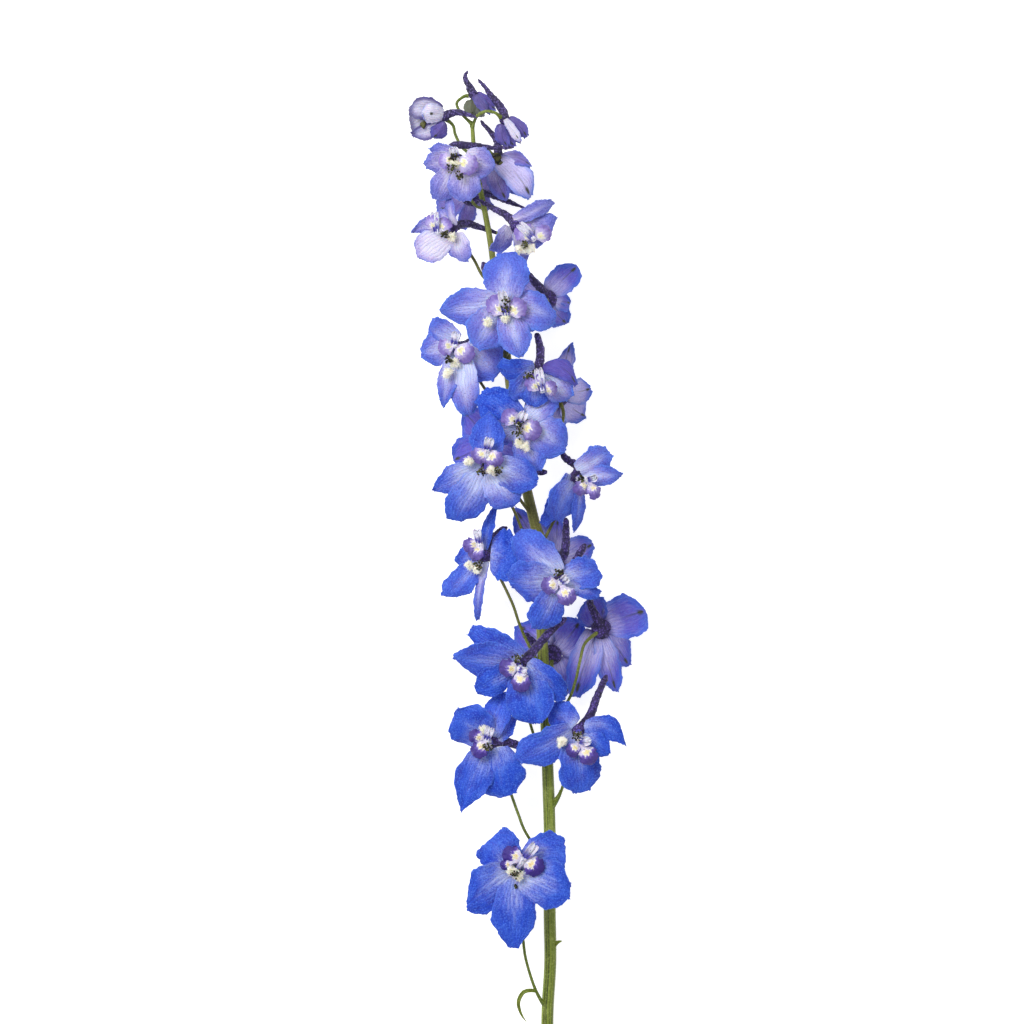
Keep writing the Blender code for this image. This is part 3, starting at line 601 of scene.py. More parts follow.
# %% Low florets
Floret = namedtuple("Floret", "name hub faces stalk spur sepals eye", defaults=("seen",))
FLORETS = [
    Floret("floret_01", hub=(-5, -121, 30), faces=(-0.05, -0.1, 1),
           stalk=[(8.4, -182, 5.4), (3.5, -173.5, 8.5), (-0.5, -161, 13), (-2, -151, 17), (-4, -127, 22)],
           spur=[(0, -116, 25), (8, -112, 21.5)],
           sepals=[(-16, -107.5, 30, 20), (16, -114.5, 31, 17), (18, -128.5, 32, 21), (-6, -153.5, 29, 19),
                   (-27, -134, 30, 20)]),
    Floret("floret_02", hub=(-15, -67, 31), faces=(-0.35, -0.1, 0.93),
           stalk=[(8.9, -120, 12.2), (-0.5, -106.5, 17), (-4, -98, 20), (-7, -89.5, 22), (-14, -70, 24)],
           spur=[(-9, -67, 30), (-3, -69, 27.5), (4, -72, 25)],
           sepals=[(-30.5, -53.5, 33, 22), (-10, -46, 29, 13), (-5, -55, 24, 8), (-8, -89.5, 29, 20),
                   (-28.5, -96, 30, 16)]),
    Floret("floret_03", hub=(21, -62, 33), faces=(0.1, -0.1, 1),
           stalk=[(8.8, -98, 14.4), (12.5, -92, 17), (15, -85, 20), (18, -74, 25)],
           spur=[(26, -56, 28), (29, -48, 27), (33, -39, 26)],
           sepals=[(8.5, -52, 31, 13), (-4, -75, 36, 16), (22.5, -88, 31, 19), (34, -72, 34, 11),
                   (41, -67.5, 31, 10)]),
    Floret("floret_04", hub=(-3, -34, 38), faces=(-0.15, -0.25, 0.95),
           stalk=[(8, -76, 16.5), (3, -66, 21), (-1, -52, 26), (-2.5, -42, 31)],
           spur=[(2, -29, 35), (8, -22, 33), (14, -16.5, 31), (16, -15, 30.5)],
           sepals=[(-24.5, -20, 38, 14), (-31.5, -31, 36, 18), (-22, -45, 36, 13), (3.5, -59, 37, 20),
                   (16, -48, 34, 13)]),
    Floret("floret_05", hub=(10, -31, 12), faces=(-0.1, 0, -1), eye="hidden",
           stalk=[(8, -66, 17.4), (9, -50, 16), (10, -38, 15.7)],
           spur=[(4, -27, 12.5), (-2, -22, 14)],
           sepals=[(22.5, -17.5, 3, 18), (-4, -18, 3, 17), (-9, -37, 0.3, 12), (3, -51, 3, 12),
                   (17, -48, 2.5, 17)]),
    Floret("floret_06", hub=(31, -20, 14), faces=(0.1, -0.1, -1), eye="hidden",
           stalk=[(8, -64, 17.6), (17, -50, 18), (20, -42, 18.5), (22, -33, 18.5), (24, -26, 18.5)],
           spur=[(29, -15, 17.5), (27, -11, 19), (25.5, -7, 20)],
           sepals=[(50, -12.5, 7, 20), (43, -36, 0.3, 13), (37.5, -47, 3, 11), (20, -49, 8, 14),
                   (25, -8, 5, 15)]),
    Floret("floret_07", hub=(-18, 11, 30), faces=(-0.55, 0, 0.83),
           stalk=[(6.4, -38, 19.7), (0.5, -27, 21), (-3.5, -18, 23), (-7, -8, 24), (-15, 8, 23)],
           spur=[(-17, 15, 25), (-13, 20, 20), (-9, 23, 17)],
           sepals=[(-12.5, 34, 29, 6.5), (-4, 11.5, 33, 23), (-21, -16, 26, 4.5), (-32.5, -7, 26, 12.5),
                   (-30, 8, 24, 10)]),
    Floret("floret_08", hub=(13, 1, 40), faces=(0.1, -0.25, 0.95),
           stalk=[(6, -18, 21.1), (8, -16, 25), (10, -9, 31), (12, -3, 36)],
           spur=[(17, 5, 34), (21, 11, 31.5), (24, 16, 30)],
           sepals=[(-5, 20.5, 39, 17), (-8, 0, 39, 20), (4.5, -19.5, 39, 15), (30, -5, 38, 6.5),
                   (29.5, 6, 38, 14)]),
    Floret("floret_09", hub=(11, 9, 13), faces=(0, 0.1, -1), eye="hidden",
           stalk=[(6, -24, 20.7), (8, -14, 17.5), (10, -2, 18), (10.8, 7, 18.5)],
           spur=[(15, 11, 17), (16, 18, 20), (16, 27, 21)],
           sepals=[(-5.5, 31, 5, 13), (13, 27, 5, 11), (28, 15.5, 0.3, 13), (22, 0, 1, 9), (0, -6, 1, 11)]),
]
print("low florets:", len(FLORETS))

# %% Florets halfway up
FLORETS += [
    Floret("floret_10", hub=(20, 44, 28), faces=(0.55, -0.1, 0.83),
           stalk=[(5, 16, 22.9), (8, 20, 21.5), (13, 30, 20.5), (19, 42, 21.5)],
           spur=[(21, 48, 26), (17, 51, 25), (14, 54, 24.5)],
           sepals=[(39.5, 45, 26, 9), (34, 55, 25, 12), (12.5, 25.5, 30, 17), (6, 24, 26, 11),
                   (19.5, 21, 22.5, 7)]),
    Floret("floret_11", hub=(-17, 48, 44), faces=(-0.05, -0.2, 1),
           stalk=[(5, 14, 22.9), (1, 17.5, 25), (-2, 21, 27), (-5, 28, 30), (-8, 34, 33), (-13, 42, 38)],
           spur=[(-10, 49, 38), (0, 46.5, 33), (8, 46, 32)],
           sepals=[(-16.5, 71, 43, 15), (-39.5, 38, 40, 13), (-30, 25.5, 41, 17), (-5, 32.5, 42, 17),
                   (4, 42, 43, 15)]),
    Floret("floret_12", hub=(-15, 59, 12.5), faces=(0, 0, -1), eye="hidden",
           stalk=[(0, 38, 23.6), (-7, 44, 20), (-12, 53, 16)],
           spur=[(-11, 65, 14.5), (-9, 73, 16)],
           sepals=[(-28, 72, 5, 16), (-31.5, 51, 0.3, 16), (-14, 38, 2.5, 11), (0, 53, 3, 12),
                   (-6, 77, 3, 12)]),
    Floret("floret_13", hub=(-2, 66, 38), faces=(0, -0.1, 1),
           stalk=[(2, 28, 23.5), (-4, 36, 28), (-6, 46, 29), (-3.5, 62, 31)],
           spur=[(0, 73, 32), (2, 82, 29.5)],
           sepals=[(-20, 79, 37, 16), (-19, 60, 35, 12), (4, 46.5, 38, 15), (16, 56, 36, 18),
                   (12, 80, 34, 12)]),
    Floret("floret_14", hub=(13, 78, 14), faces=(0.1, 0, -1), eye="hidden",
           stalk=[(-1, 42, 23.8), (6, 50, 21), (12, 60, 19.5), (15, 70, 18)],
           spur=[(9, 75, 18), (5, 71.5, 19), (0.5, 72.5, 19.5)],
           sepals=[(27, 81, 8, 12), (24.5, 69.5, 0.3, 13), (12.5, 62, 3, 9), (0, 86, 3, 11),
                   (18, 101, 5, 8)]),
    Floret("floret_15", hub=(4, 88, 42), faces=(0.1, -0.5, 0.85),
           stalk=[(-7.5, 84, 24.4), (-2, 89, 29), (1, 92, 34)],
           spur=[(5, 93, 40.5), (5, 98, 39), (3.5, 104, 36)],
           sepals=[(20, 82, 43, 9), (17.5, 77, 38, 12), (2, 73.5, 40, 13), (-7, 77, 43, 11),
                   (-12, 88, 40, 13)]),
    Floret("floret_16", hub=(-29, 98, 34), faces=(-0.45, -0.05, 0.89),
           stalk=[(-5, 62, 24.2), (-12, 72, 26), (-20, 84, 26), (-26, 94, 27)],
           spur=[(-22, 102, 27), (-18, 109, 21), (-17, 116, 18)],
           sepals=[(-41.5, 106.5, 33, 14), (-45, 96, 30, 14), (-35.5, 73, 31, 9), (-24.5, 70, 31, 14),
                   (-12.5, 87, 31, 21)]),
    Floret("floret_17", hub=(-10, 115, 44), faces=(0, 0, 1),
           stalk=[(-9, 93, 24.5), (-7, 98, 30), (-6.5, 105, 37)],
           spur=[(-13, 121, 38), (-17, 128, 33), (-19, 134, 30.5)],
           sepals=[(-9, 137.5, 42, 20), (-36.5, 112, 41, 17), (-22, 98, 43, 18), (-3, 93.5, 48, 14),
                   (12, 111.5, 42, 17)]),
]
print("with those halfway up:", len(FLORETS))

# %% Upper florets and buds
FLORETS += [
    Floret("floret_18", hub=(8, 119, 15), faces=(0.1, 0, -1), eye="hidden",
           stalk=[(-12.5, 115, 24.2), (-6, 118, 22), (-1, 119, 22), (7.5, 118, 22)],
           spur=[(5, 124, 18.5), (2, 127, 20), (-1, 130.5, 21)],
           sepals=[(21, 133.5, 7, 13), (18, 118, 3, 9), (16.5, 109.5, 0.3, 11), (-3, 106, 4, 11),
                   (-6, 129, 5, 11)]),
    Floret("floret_19", hub=(-5, 149, 34), faces=(0.45, -0.15, 0.88),
           stalk=[(-15.4, 140, 24), (-12, 143.5, 26), (-12.5, 147, 27), (-7, 148.5, 27)],
           spur=[(-9, 153.5, 31), (-15, 157, 29), (-22, 161, 28)],
           sepals=[(7, 152, 29, 5), (10, 160, 34, 7), (10.5, 146.5, 32, 15), (-1.5, 133.5, 31, 7),
                   (-13.5, 138, 33, 11)]),
    Floret("floret_20", hub=(-32, 148, 32), faces=(-0.5, -0.1, 0.85),
           stalk=[(-13.7, 124, 24.2), (-19, 128.5, 25), (-22.5, 135, 25.5), (-26.5, 141, 25.2)],
           spur=[(-26, 150.5, 26), (-18, 148.5, 19.5), (-9.5, 146, 17)],
           sepals=[(-33, 161, 34, 5), (-37.5, 156.5, 28, 6), (-48.5, 146.5, 27, 8), (-46.5, 136.5, 30, 14),
                   (-27.5, 134, 31, 11)]),
    Floret("floret_21", hub=(-24, 163, 12.5), faces=(0, 0, -1), eye="hidden",
           stalk=[(-18.4, 157, 23.5), (-21.5, 158, 20), (-24, 161, 17)],
           spur=[(-17, 164, 11.5), (-9, 161, 9.5), (-1, 158, 9)],
           sepals=[(-38, 157, 0.3, 11), (-27, 149.5, 2.5, 7.5), (-15, 159, 2.5, 7), (-13, 170, 3, 11),
                   (-36, 173, 3, 10)]),
    Floret("floret_22", hub=(-29, 176, 38), faces=(-0.1, -0.15, 1),
           stalk=[(-20.2, 167, 23.3), (-23, 169, 28), (-27, 172.5, 33)],
           spur=[(-32, 181.5, 37), (-27, 182.5, 37), (-15, 182, 31), (-6, 182, 29)],
           sepals=[(-43, 173.5, 36, 11), (-40.5, 179.5, 35, 9), (-14, 173, 37, 14), (-26, 159, 38, 14),
                   (-38.5, 159.5, 37, 12)]),
    Floret("floret_23", hub=(-13, 178, 20), faces=(0.65, -0.7, 0.1), eye="none",
           stalk=[(-22, 172, 23.2), (-20, 178, 22), (-17, 181.5, 20.5)],
           spur=[(-12.5, 183, 21), (-14, 187, 22), (-20, 194, 22.5)],
           sepals=[(1.5, 174.5, 25, 6.5), (1, 161.5, 24, 12), (-9, 160.5, 22, 9), (-4, 164, 12, 9),
                   (2, 170, 14, 9)]),
    Floret("bud_left", hub=(-35.5, 195.5, 24), faces=(-0.95, -0.25, 0.1), eye="none",
           stalk=[(-22.5, 179, 23.1), (-27.5, 182.5, 22.5), (-30.5, 188, 22), (-31.5, 192, 21)],
           spur=[(-31, 197, 27.5), (-27, 196.5, 29), (-21.5, 194.5, 29.5)],
           sepals=[(-50, 197.5, 27, 10), (-49.5, 192, 20, 14), (-49, 188, 25, 7), (-40, 186.5, 27, 7),
                   (-44.5, 196.5, 30, 8.5)]),
    Floret("bud_right", hub=(-10, 194, 24), faces=(0.62, -0.78, 0), eye="none",
           stalk=[(-23.5, 191, 23), (-21.5, 195.5, 25), (-18, 197.5, 26.5), (-14, 197, 27)],
           spur=[(-10.5, 198, 22.5), (-15, 204, 23), (-21, 211.5, 23)],
           sepals=[(-0.5, 187, 25, 6), (-3.2, 184.8, 28, 4), (-5.5, 182.8, 24, 6), (-3, 185, 20, 6),
                   (-8.5, 183, 25.5, 6)]),
    Floret("bud_top", hub=(-22.8, 205, 18), faces=(0.75, -0.65, 0), eye="none",
           stalk=[(-23.5, 192.5, 23), (-28, 197, 21.5), (-30, 201.5, 19.5), (-27, 204.5, 18)],
           spur=[(-24, 207.5, 19), (-26.3, 212, 20), (-25.5, 215.3, 20)],
           sepals=[(-13.5, 198.5, 20, 4.5), (-16, 197, 21, 4.5), (-19, 196, 18, 6), (-14, 198, 14, 6),
                   (-23, 196.5, 19, 6)]),
]
print("florets and buds:", len(FLORETS))

# %% Leaflets on the stem
Bract = namedtuple("Bract", "route width")
BRACTS = [
    Bract([(3.8, -173.5, 8.5), (1, -173, 10), (-2, -173.8, 10.5), (-4, -178, 9), (-3, -183, 7),
           (-0.5, -187, 6)], 1.8),
    Bract([(9.4, -156, 8.4), (12, -153, 9.5), (14.5, -152, 11)], 2.2),
    Bract([(10, -94, 15.5), (12.8, -90, 18.2), (13.4, -87.5, 19)], 1.6),
]
print("leaflets:", len(BRACTS))

# %% [markdown]
# ## A thin sheet and a tube
# Everything on the plant is either a thin sheet or a tube. A sheet could be one layer of faces with a
# Solidify modifier, but the two sides of a sepal have different colours. So both sides are built, and
# they meet at a knife-thin rim, which is how a real sepal ends. The class below collects points and
# faces, and with each face the values that the finishes read. Three functions then add sheets, tubes and
# balls to it.

# %% Collect points and faces
UP = Vector((0, 0, 1))
SHARP_ANGLE = math.radians(80)


class Growth:
    """The points and faces of one piece as it grows, in millimetres."""

    def __init__(self):
        self.points = []
        self.faces = []
        self.maps = []
        self.skins = []
        self.habits = []
        self.tones = []
        self.hair = []

    def face(self, corners, spots, skin, habit, tone):
        self.faces.append(corners)
        self.maps += spots
        self.skins.append(skin)
        self.habits += habit
        self.tones.append(tone)

    def piece(self, name, skins):
        """The finished mesh object, in metres."""
        mesh = bpy.data.meshes.new(name)
        faces = [[int(corner) for corner in face] for face in self.faces]
        mesh.from_pydata([tuple(point * MM) for point in self.points], [], faces)
        petal = mesh.uv_layers.new(name="petal")
        petal.data.foreach_set("uv", [value for spot in self.maps for value in spot])
        habit = mesh.attributes.new("habit", "FLOAT_VECTOR", "FACE")
        habit.data.foreach_set("vector", self.habits)
        tone = mesh.attributes.new("tone", "FLOAT", "FACE")
        tone.data.foreach_set("value", self.tones)
        hair = mesh.attributes.new("hair", "FLOAT", "POINT")
        hair.data.foreach_set("value", self.hair)
        for skin in skins:
            mesh.materials.append(skin)
        mesh.polygons.foreach_set("material_index", self.skins)
        mesh.shade_smooth()
        mesh.set_sharp_from_angle(angle=SHARP_ANGLE)
        made = bpy.data.objects.new(name, mesh)
        scene.collection.objects.link(made)
        return made


# %% Grow a sheet
def grow_sheet(growth, grid, front, thickness, skin, across, along, reach=0.0, chance=0.0, tone=0.0,
               hair=None):
    """A closed thin sheet round a grid of points. Its inner side is the one towards front."""
    rows, columns = grid.shape[0] - 1, grid.shape[1] - 1
    side = numpy.gradient(grid, axis=1)
    ahead = numpy.gradient(grid, axis=0)
    normal = numpy.cross(side, ahead)
    normal /= numpy.linalg.norm(normal, axis=2, keepdims=True) + 1e-9
    turned = (normal * numpy.array(front)).sum() < 0
    if turned:
        normal = -normal
    upper = numpy.empty((rows + 1, columns + 1), int)
    lower = numpy.empty((rows + 1, columns + 1), int)
    for i in range(rows + 1):
        for j in range(columns + 1):
            rim = i in (0, rows) or j in (0, columns)
            lift = normal[i, j] * (0 if rim else thickness / 2)
            amount = hair(i / rows, 2 * across[j] - 1) if hair else 0.0
            upper[i, j] = len(growth.points)
            growth.points.append(grid[i, j] + lift)
            growth.hair.append(amount)
            lower[i, j] = upper[i, j]
            if not rim:
                lower[i, j] = len(growth.points)
                growth.points.append(grid[i, j] - lift)
                growth.hair.append(0.0)
    for i in range(rows):
        for j in range(columns):
            ring = [(i, j), (i, j + 1), (i + 1, j + 1), (i + 1, j)]
            if turned:
                ring.reverse()
            spots = [(across[b], along[a]) for a, b in ring]
            growth.face([upper[spot] for spot in ring], spots, skin, [1.0, reach, chance], tone)
            growth.face([lower[spot] for spot in ring[::-1]], spots[::-1], skin, [0.0, reach, chance], tone)


square = numpy.array([[(x, y, 0) for x in range(3)] for y in range(3)], float)
trial = Growth()
grow_sheet(trial, square, UP, 0.4, 0, [0, 0.5, 1], [0, 0.5, 1])
print("a sheet of four squares:", len(trial.points), "points and", len(trial.faces), "faces")

# %% Grow a tube
RIB_DEPTH = 0.022
PEBBLE_SIZE = 0.9
LOWEST_TUBE = 0.03
LOWEST_HAIR = 1.0


def grow_tube(growth, route, radii, sides, skin, end_skin=None, pebble=0.0, ribs=0, hair=0.0, chance=0.0,
              tone=0.0):
    """A closed tube along a route, with a lumpy or ribbed skin where asked."""
    rings = []
    frame_side = None
    for k, (place, radius) in enumerate(zip(route, radii)):
        ahead = (route[min(k + 1, len(route) - 1)] - route[max(k - 1, 0)]).normalized()
        if frame_side is None:
            frame_side = ahead.orthogonal().normalized()
        frame_side = (frame_side - ahead * frame_side.dot(ahead)).normalized()
        other = ahead.cross(frame_side)
        ring = []
        for m in range(sides):
            turn = math.tau * m / sides
            out = frame_side * math.cos(turn) + other * math.sin(turn)
            size = radius * (1 + (RIB_DEPTH * math.cos(ribs * turn) if ribs else 0))
            spot = place + out * size
            if pebble:
                spot += out * pebble * noise.noise(spot * PEBBLE_SIZE + Vector((chance * 50, 0, 0)))
            spot.z = max(spot.z, LOWEST_TUBE)
            ring.append(len(growth.points))
            growth.points.append(numpy.array(spot))
            growth.hair.append(hair if spot.z > LOWEST_HAIR else 0.0)
        rings.append(ring)
    last = len(route) - 1
    for k in range(last):
        for m in range(sides):
            n = (m + 1) % sides
            corners = [rings[k][m], rings[k][n], rings[k + 1][n], rings[k + 1][m]]
            low, high = k / last, (k + 1) / last
            left, right = m / sides, (m + 1) / sides
            spots = [(left, low), (right, low), (right, high), (left, high)]
            growth.face(corners, spots, skin, [1.0, 0.0, chance], tone)
    for k, place, turn in ((0, route[0], -1), (last, route[last], 1)):
        pole = len(growth.points)
        growth.points.append(numpy.array(place))
        growth.hair.append(0.0)
        for m in range(sides):
            n = (m + 1) % sides
            corners = [pole, rings[k][m], rings[k][n]]
            if turn < 0:
                corners.reverse()
            cap = skin if end_skin is None or k else end_skin
            growth.face(corners, [(0.5, k / last)] * 3, cap, [1.0, 0.0, chance], tone)


# %% Grow a ball
def grow_ball(growth, centre, axis, height, radius, turns, sides, skin, **looks):
    """A ball or a dome as a tube that swells and shrinks. The turns go from pole to pole, in radians."""
    route = [centre + axis * (height * math.sin(turn)) for turn in turns]
    radii = [radius * math.cos(turn) for turn in turns]
    grow_tube(growth, route, radii, sides, skin, **looks)


trial = Growth()
grow_ball(trial, UP * 9, UP, 1, 1, [-1.5, 0, 1.5], 6, 0)
print("a ball of two bands:", len(trial.points), "points and", len(trial.faces), "faces")

# %% [markdown]
# ## Lines that bend smoothly
# Stalks, spurs and the stem follow smooth curves through a few points. Blender's curve objects could
# sweep them, but the tubes here carry ribs, pebbles and hair amounts, so the points along each curve are
# worked out first and handed to the tube above.


# %% Smooth route
def smooth_route(points, count):
    """Points at even steps along a smooth curve through the points given."""
    knots = [Vector(p) for p in points]
    handles = []
    for i in range(len(knots)):
        before = knots[max(i - 1, 0)]
        after = knots[min(i + 1, len(knots) - 1)]
        handles.append((after - before) / 6)
    dense = []
    for i in range(len(knots) - 1):
        leave = knots[i] + handles[i]
        arrive = knots[i + 1] - handles[i + 1]
        curve = interpolate_bezier(knots[i], leave, arrive, knots[i + 1], 16)
        dense += curve[:-1] if i < len(knots) - 2 else curve
    lengths = [0.0]
    for a, b in zip(dense, dense[1:]):
        lengths.append(lengths[-1] + (b - a).length)
    route = []
    for k in range(count + 1):
        wanted = lengths[-1] * k / count
        j = min(max(numpy.searchsorted(lengths, wanted) - 1, 0), len(dense) - 2)
        share = (wanted - lengths[j]) / (lengths[j + 1] - lengths[j])
        route.append(dense[j].lerp(dense[j + 1], min(max(share, 0), 1)))
    return route


stem_line = smooth_route([stop[:3] for stop in STEM_ROUTE], 170)
print("stem length in mm:", round(sum((b - a).length for a, b in zip(stem_line, stem_line[1:]))))

# %% [markdown]
# ## The shape of a blade
# A sepal springs from a ring round the hub, arches out and ends in a small point. Its middle line is a
# curve with one bend. Across it the blade cups a little and waves, and the last third of its width
# ruffles. The rim is ragged: each row of points is a little wider or narrower than the next. Modelling
# one sepal and copying it would show at once, so each is grown from its own tip and its own seed.

# %% Blade grid
LOWEST_BLADE = 0.35
TIP_CROWDING = 1.25


def blade_grid(root, tip, bulge, faces, twist, steps, columns, shape):
    """Points over a blade. The shape gives how far each lies sideways, ahead and up from the middle line."""
    middle = (root + tip) / 2 + faces * bulge * 2
    grid = numpy.empty((len(steps), len(columns), 3))
    for i, s in enumerate(steps):
        centre = root * (1 - s) ** 2 + middle * 2 * s * (1 - s) + tip * s**2
        tangent = ((middle - root) * (1 - s) + (tip - middle) * s).normalized()
        side = tangent.cross(faces).normalized()
        up = side.cross(tangent)
        side = side * math.cos(twist) + up * math.sin(twist)
        up = side.cross(tangent)
        for j, t in enumerate(columns):
            sideways, ahead, lift = shape(s, t)
            place = centre + side * sideways + tangent * ahead + up * lift
            place.z = max(place.z, LOWEST_BLADE)
            grid[i, j] = place
    return grid


def blade_steps(rows, columns):
    """Rows that crowd at the tip, and columns that crowd at the edges."""
    steps = [1 - (1 - i / rows) ** TIP_CROWDING for i in range(rows + 1)]
    across = [math.sin(math.pi / 2 * (2 * j / columns - 1)) for j in range(columns + 1)]
    return steps, across


def map_across(columns):
    """The columns, which go from -1 to 1, as the map gives them, from 0 to 1."""
    return [(t + 1) / 2 for t in columns]


print("rows of a short blade:", [round(s, 2) for s in blade_steps(4, 2)[0]])

# %% Sepal outline
CLAW_SHARE = 0.52


def sepal_outline(s, point, blunt):
    """Half width of a sepal as a share of its widest. It may end in a point, round, or bluntly cut."""
    widest = 0.5 + 0.25 * blunt
    if s < widest:
        return CLAW_SHARE + (1 - CLAW_SHARE) * math.sin(math.pi / 2 * (s / widest) ** 0.8)
    share = min((s - widest) / (1 - widest), 1)
    round_end = (1 - share**2.2) ** 0.7
    straight_end = 1 - share**1.15
    end = round_end * (1 - point) + straight_end * point
    return max(end, blunt * (1 - 0.3 * share * share), 0.04)


print("half widths from foot to tip:", [round(sepal_outline(k / 5, 0.2, 0.4), 2) for k in range(6)])


# %% Where the blades spring from
def blade_roots(centre, faces, ring, tips):
    """Each tip in its order round the flower, with the place on the ring that its blade springs from."""
    x_axis = faces.orthogonal().normalized()
    y_axis = faces.cross(x_axis)

    def angle_of(tip):
        return math.atan2((tip - centre).dot(y_axis), (tip - centre).dot(x_axis))

    ordered = sorted(range(len(tips)), key=lambda k: angle_of(tips[k]))
    step = math.tau / len(ordered)
    turns = [angle_of(tips[k]) - n * step for n, k in enumerate(ordered)]
    start = math.atan2(sum(map(math.sin, turns)), sum(map(math.cos, turns)))
    roots = []
    for n, k in enumerate(ordered):
        angle = start + n * step
        roots.append((k, centre + (x_axis * math.cos(angle) + y_axis * math.sin(angle)) * ring))
    return roots


scattered = [Vector(spot) for spot in ((1, 0, 0), (-1, 0, 0), (0, 1, 0), (0, -1, 0))]
print("four tips in their order round:", [k for k, _ in blade_roots(UP * 0, UP, 1.0, scattered)])

# %% Grow a sepal
SEPAL_ROWS = 30
SEPAL_COLUMNS = 14
SEPAL_THICKNESS = 0.4
SEPAL_TWIST = math.radians(10)
Cut = namedtuple("Cut", "point blunt skew fold bend cup", defaults=(0, 0, 0, 0, 0, -0.12))


def grow_sepal(growth, root, tip, width, faces, bulge, phase, draw, looks, step_up, cut):
    """One sepal with its cup, wave, ruffle, ragged rim and midrib. The cut says how it ends and bends."""
    reach = (tip - root).length
    phases = [draw.uniform(0, math.tau) for _ in range(6)]
    ragged = [[draw.uniform(-1, 1) for _ in range(SEPAL_ROWS + 1)] for _ in range(2)]
    teeth = [draw.uniform(-1, 1) for _ in range(SEPAL_COLUMNS + 1)]
    ruffle = draw.uniform(0.6, 1.3) * min(1, width / 12)
    steps, across = blade_steps(SEPAL_ROWS, SEPAL_COLUMNS)

    def shape(s, t):
        row = round((1 - (1 - s) ** (1 / TIP_CROWDING)) * SEPAL_ROWS)
        column = round((math.asin(t) / math.pi + 0.5) * SEPAL_COLUMNS)
        edge = int(t > 0)
        half = width / 2 * sepal_outline(s, cut.point, cut.blunt)
        slow = 0.5 * math.sin(14 * s + phases[edge]) + 0.5 * math.sin(27 * s + phases[2 + edge])
        start = min(1, s * 3) * abs(t) ** 3
        sideways = half * t + (0.06 * half * slow + 0.24 * ragged[edge][row]) * start * math.copysign(1, t)
        sideways += cut.skew * width * 0.22 * s**3 + cut.bend * 4 * s * (1 - s)
        ahead = cut.skew * t * half * s * s + 0.35 * teeth[column] * s**8
        cup = cut.cup * half * t * t
        wave = s * t * math.sin(phase + 5 * s)
        frills = math.sin(9 * s + phases[edge]) + 0.6 * math.sin(17 * s + phases[4 + edge])
        frill = ruffle * 0.6 * frills * abs(t) ** 2.5 * min(1, s * 2.5)
        crease = -0.5 * math.exp(-((t / 0.14) ** 2)) * min(1, s * 3) * (1 - 0.5 * s)
        pleat = 0.14 * math.cos(13 * t) * (1 - 0.6 * s)
        folded = abs(cut.fold) * half * max(0, math.copysign(t, cut.fold * t)) ** 2 * s
        lift = cup + wave + frill + crease + pleat + folded + step_up * (1 - s) ** 0.5
        return sideways, ahead, lift

    grid = blade_grid(root, tip, bulge * reach, faces, SEPAL_TWIST, steps, across, shape)
    reach_of_pale, tone = looks
    grow_sheet(growth, grid, faces, SEPAL_THICKNESS, 0, map_across(across), steps, reach_of_pale,
               draw.random(), tone)


print("faces on each side of a sepal:", SEPAL_ROWS * SEPAL_COLUMNS)

# %% [markdown]
# ## Florets
# Each floret is two pieces: the sepals with their spur, and the eye in their middle. The florets low on
# the spike opened first and are a deep azure, the ones near the tip are paler and more violet. So every
# floret gets a tone and a length for its pale foot, and each sepal varies a little round them. A few
# sepals are white, or olive where the bud is still green, and these have their own looks. Drawing all of
# it at random would be shorter, but then the spike wouldn't be the one in the photo.

# %% Looks of each floret
# Each has a tone, from deep blue at 0 to light violet at 1 and dusky violet below 0, and a reach: how
# far up a sepal its pale foot goes, from 0 to 1.
LOOKS = {
    "floret_01": (0.08, 0.3), "floret_02": (0.05, 0.2), "floret_03": (0.0, 0.14), "floret_04": (0.12, 0.14),
    "floret_05": (0.3, 0.35), "floret_06": (0.25, 0.5), "floret_07": (0.1, 0.12), "floret_08": (0.25, 0.3),
    "floret_09": (0.5, 0.55), "floret_10": (0.2, 0.15), "floret_11": (0.25, 0.48), "floret_12": (0.2, 0.15),
    "floret_13": (0.45, 0.4), "floret_14": (0.85, 0.75), "floret_15": (0.3, 0.3), "floret_16": (0.6, 0.45),
    "floret_17": (0.75, 0.3), "floret_18": (0.5, 0.4), "floret_19": (0.35, 0.45), "floret_20": (0.5, 0.5),
    "floret_21": (0.2, 0.2), "floret_22": (0.5, 0.45), "floret_23": (0.7, 0.75), "bud_left": (-0.35, 0.0),
    "bud_right": (-0.35, 0.1), "bud_top": (-0.4, 0.0),
}
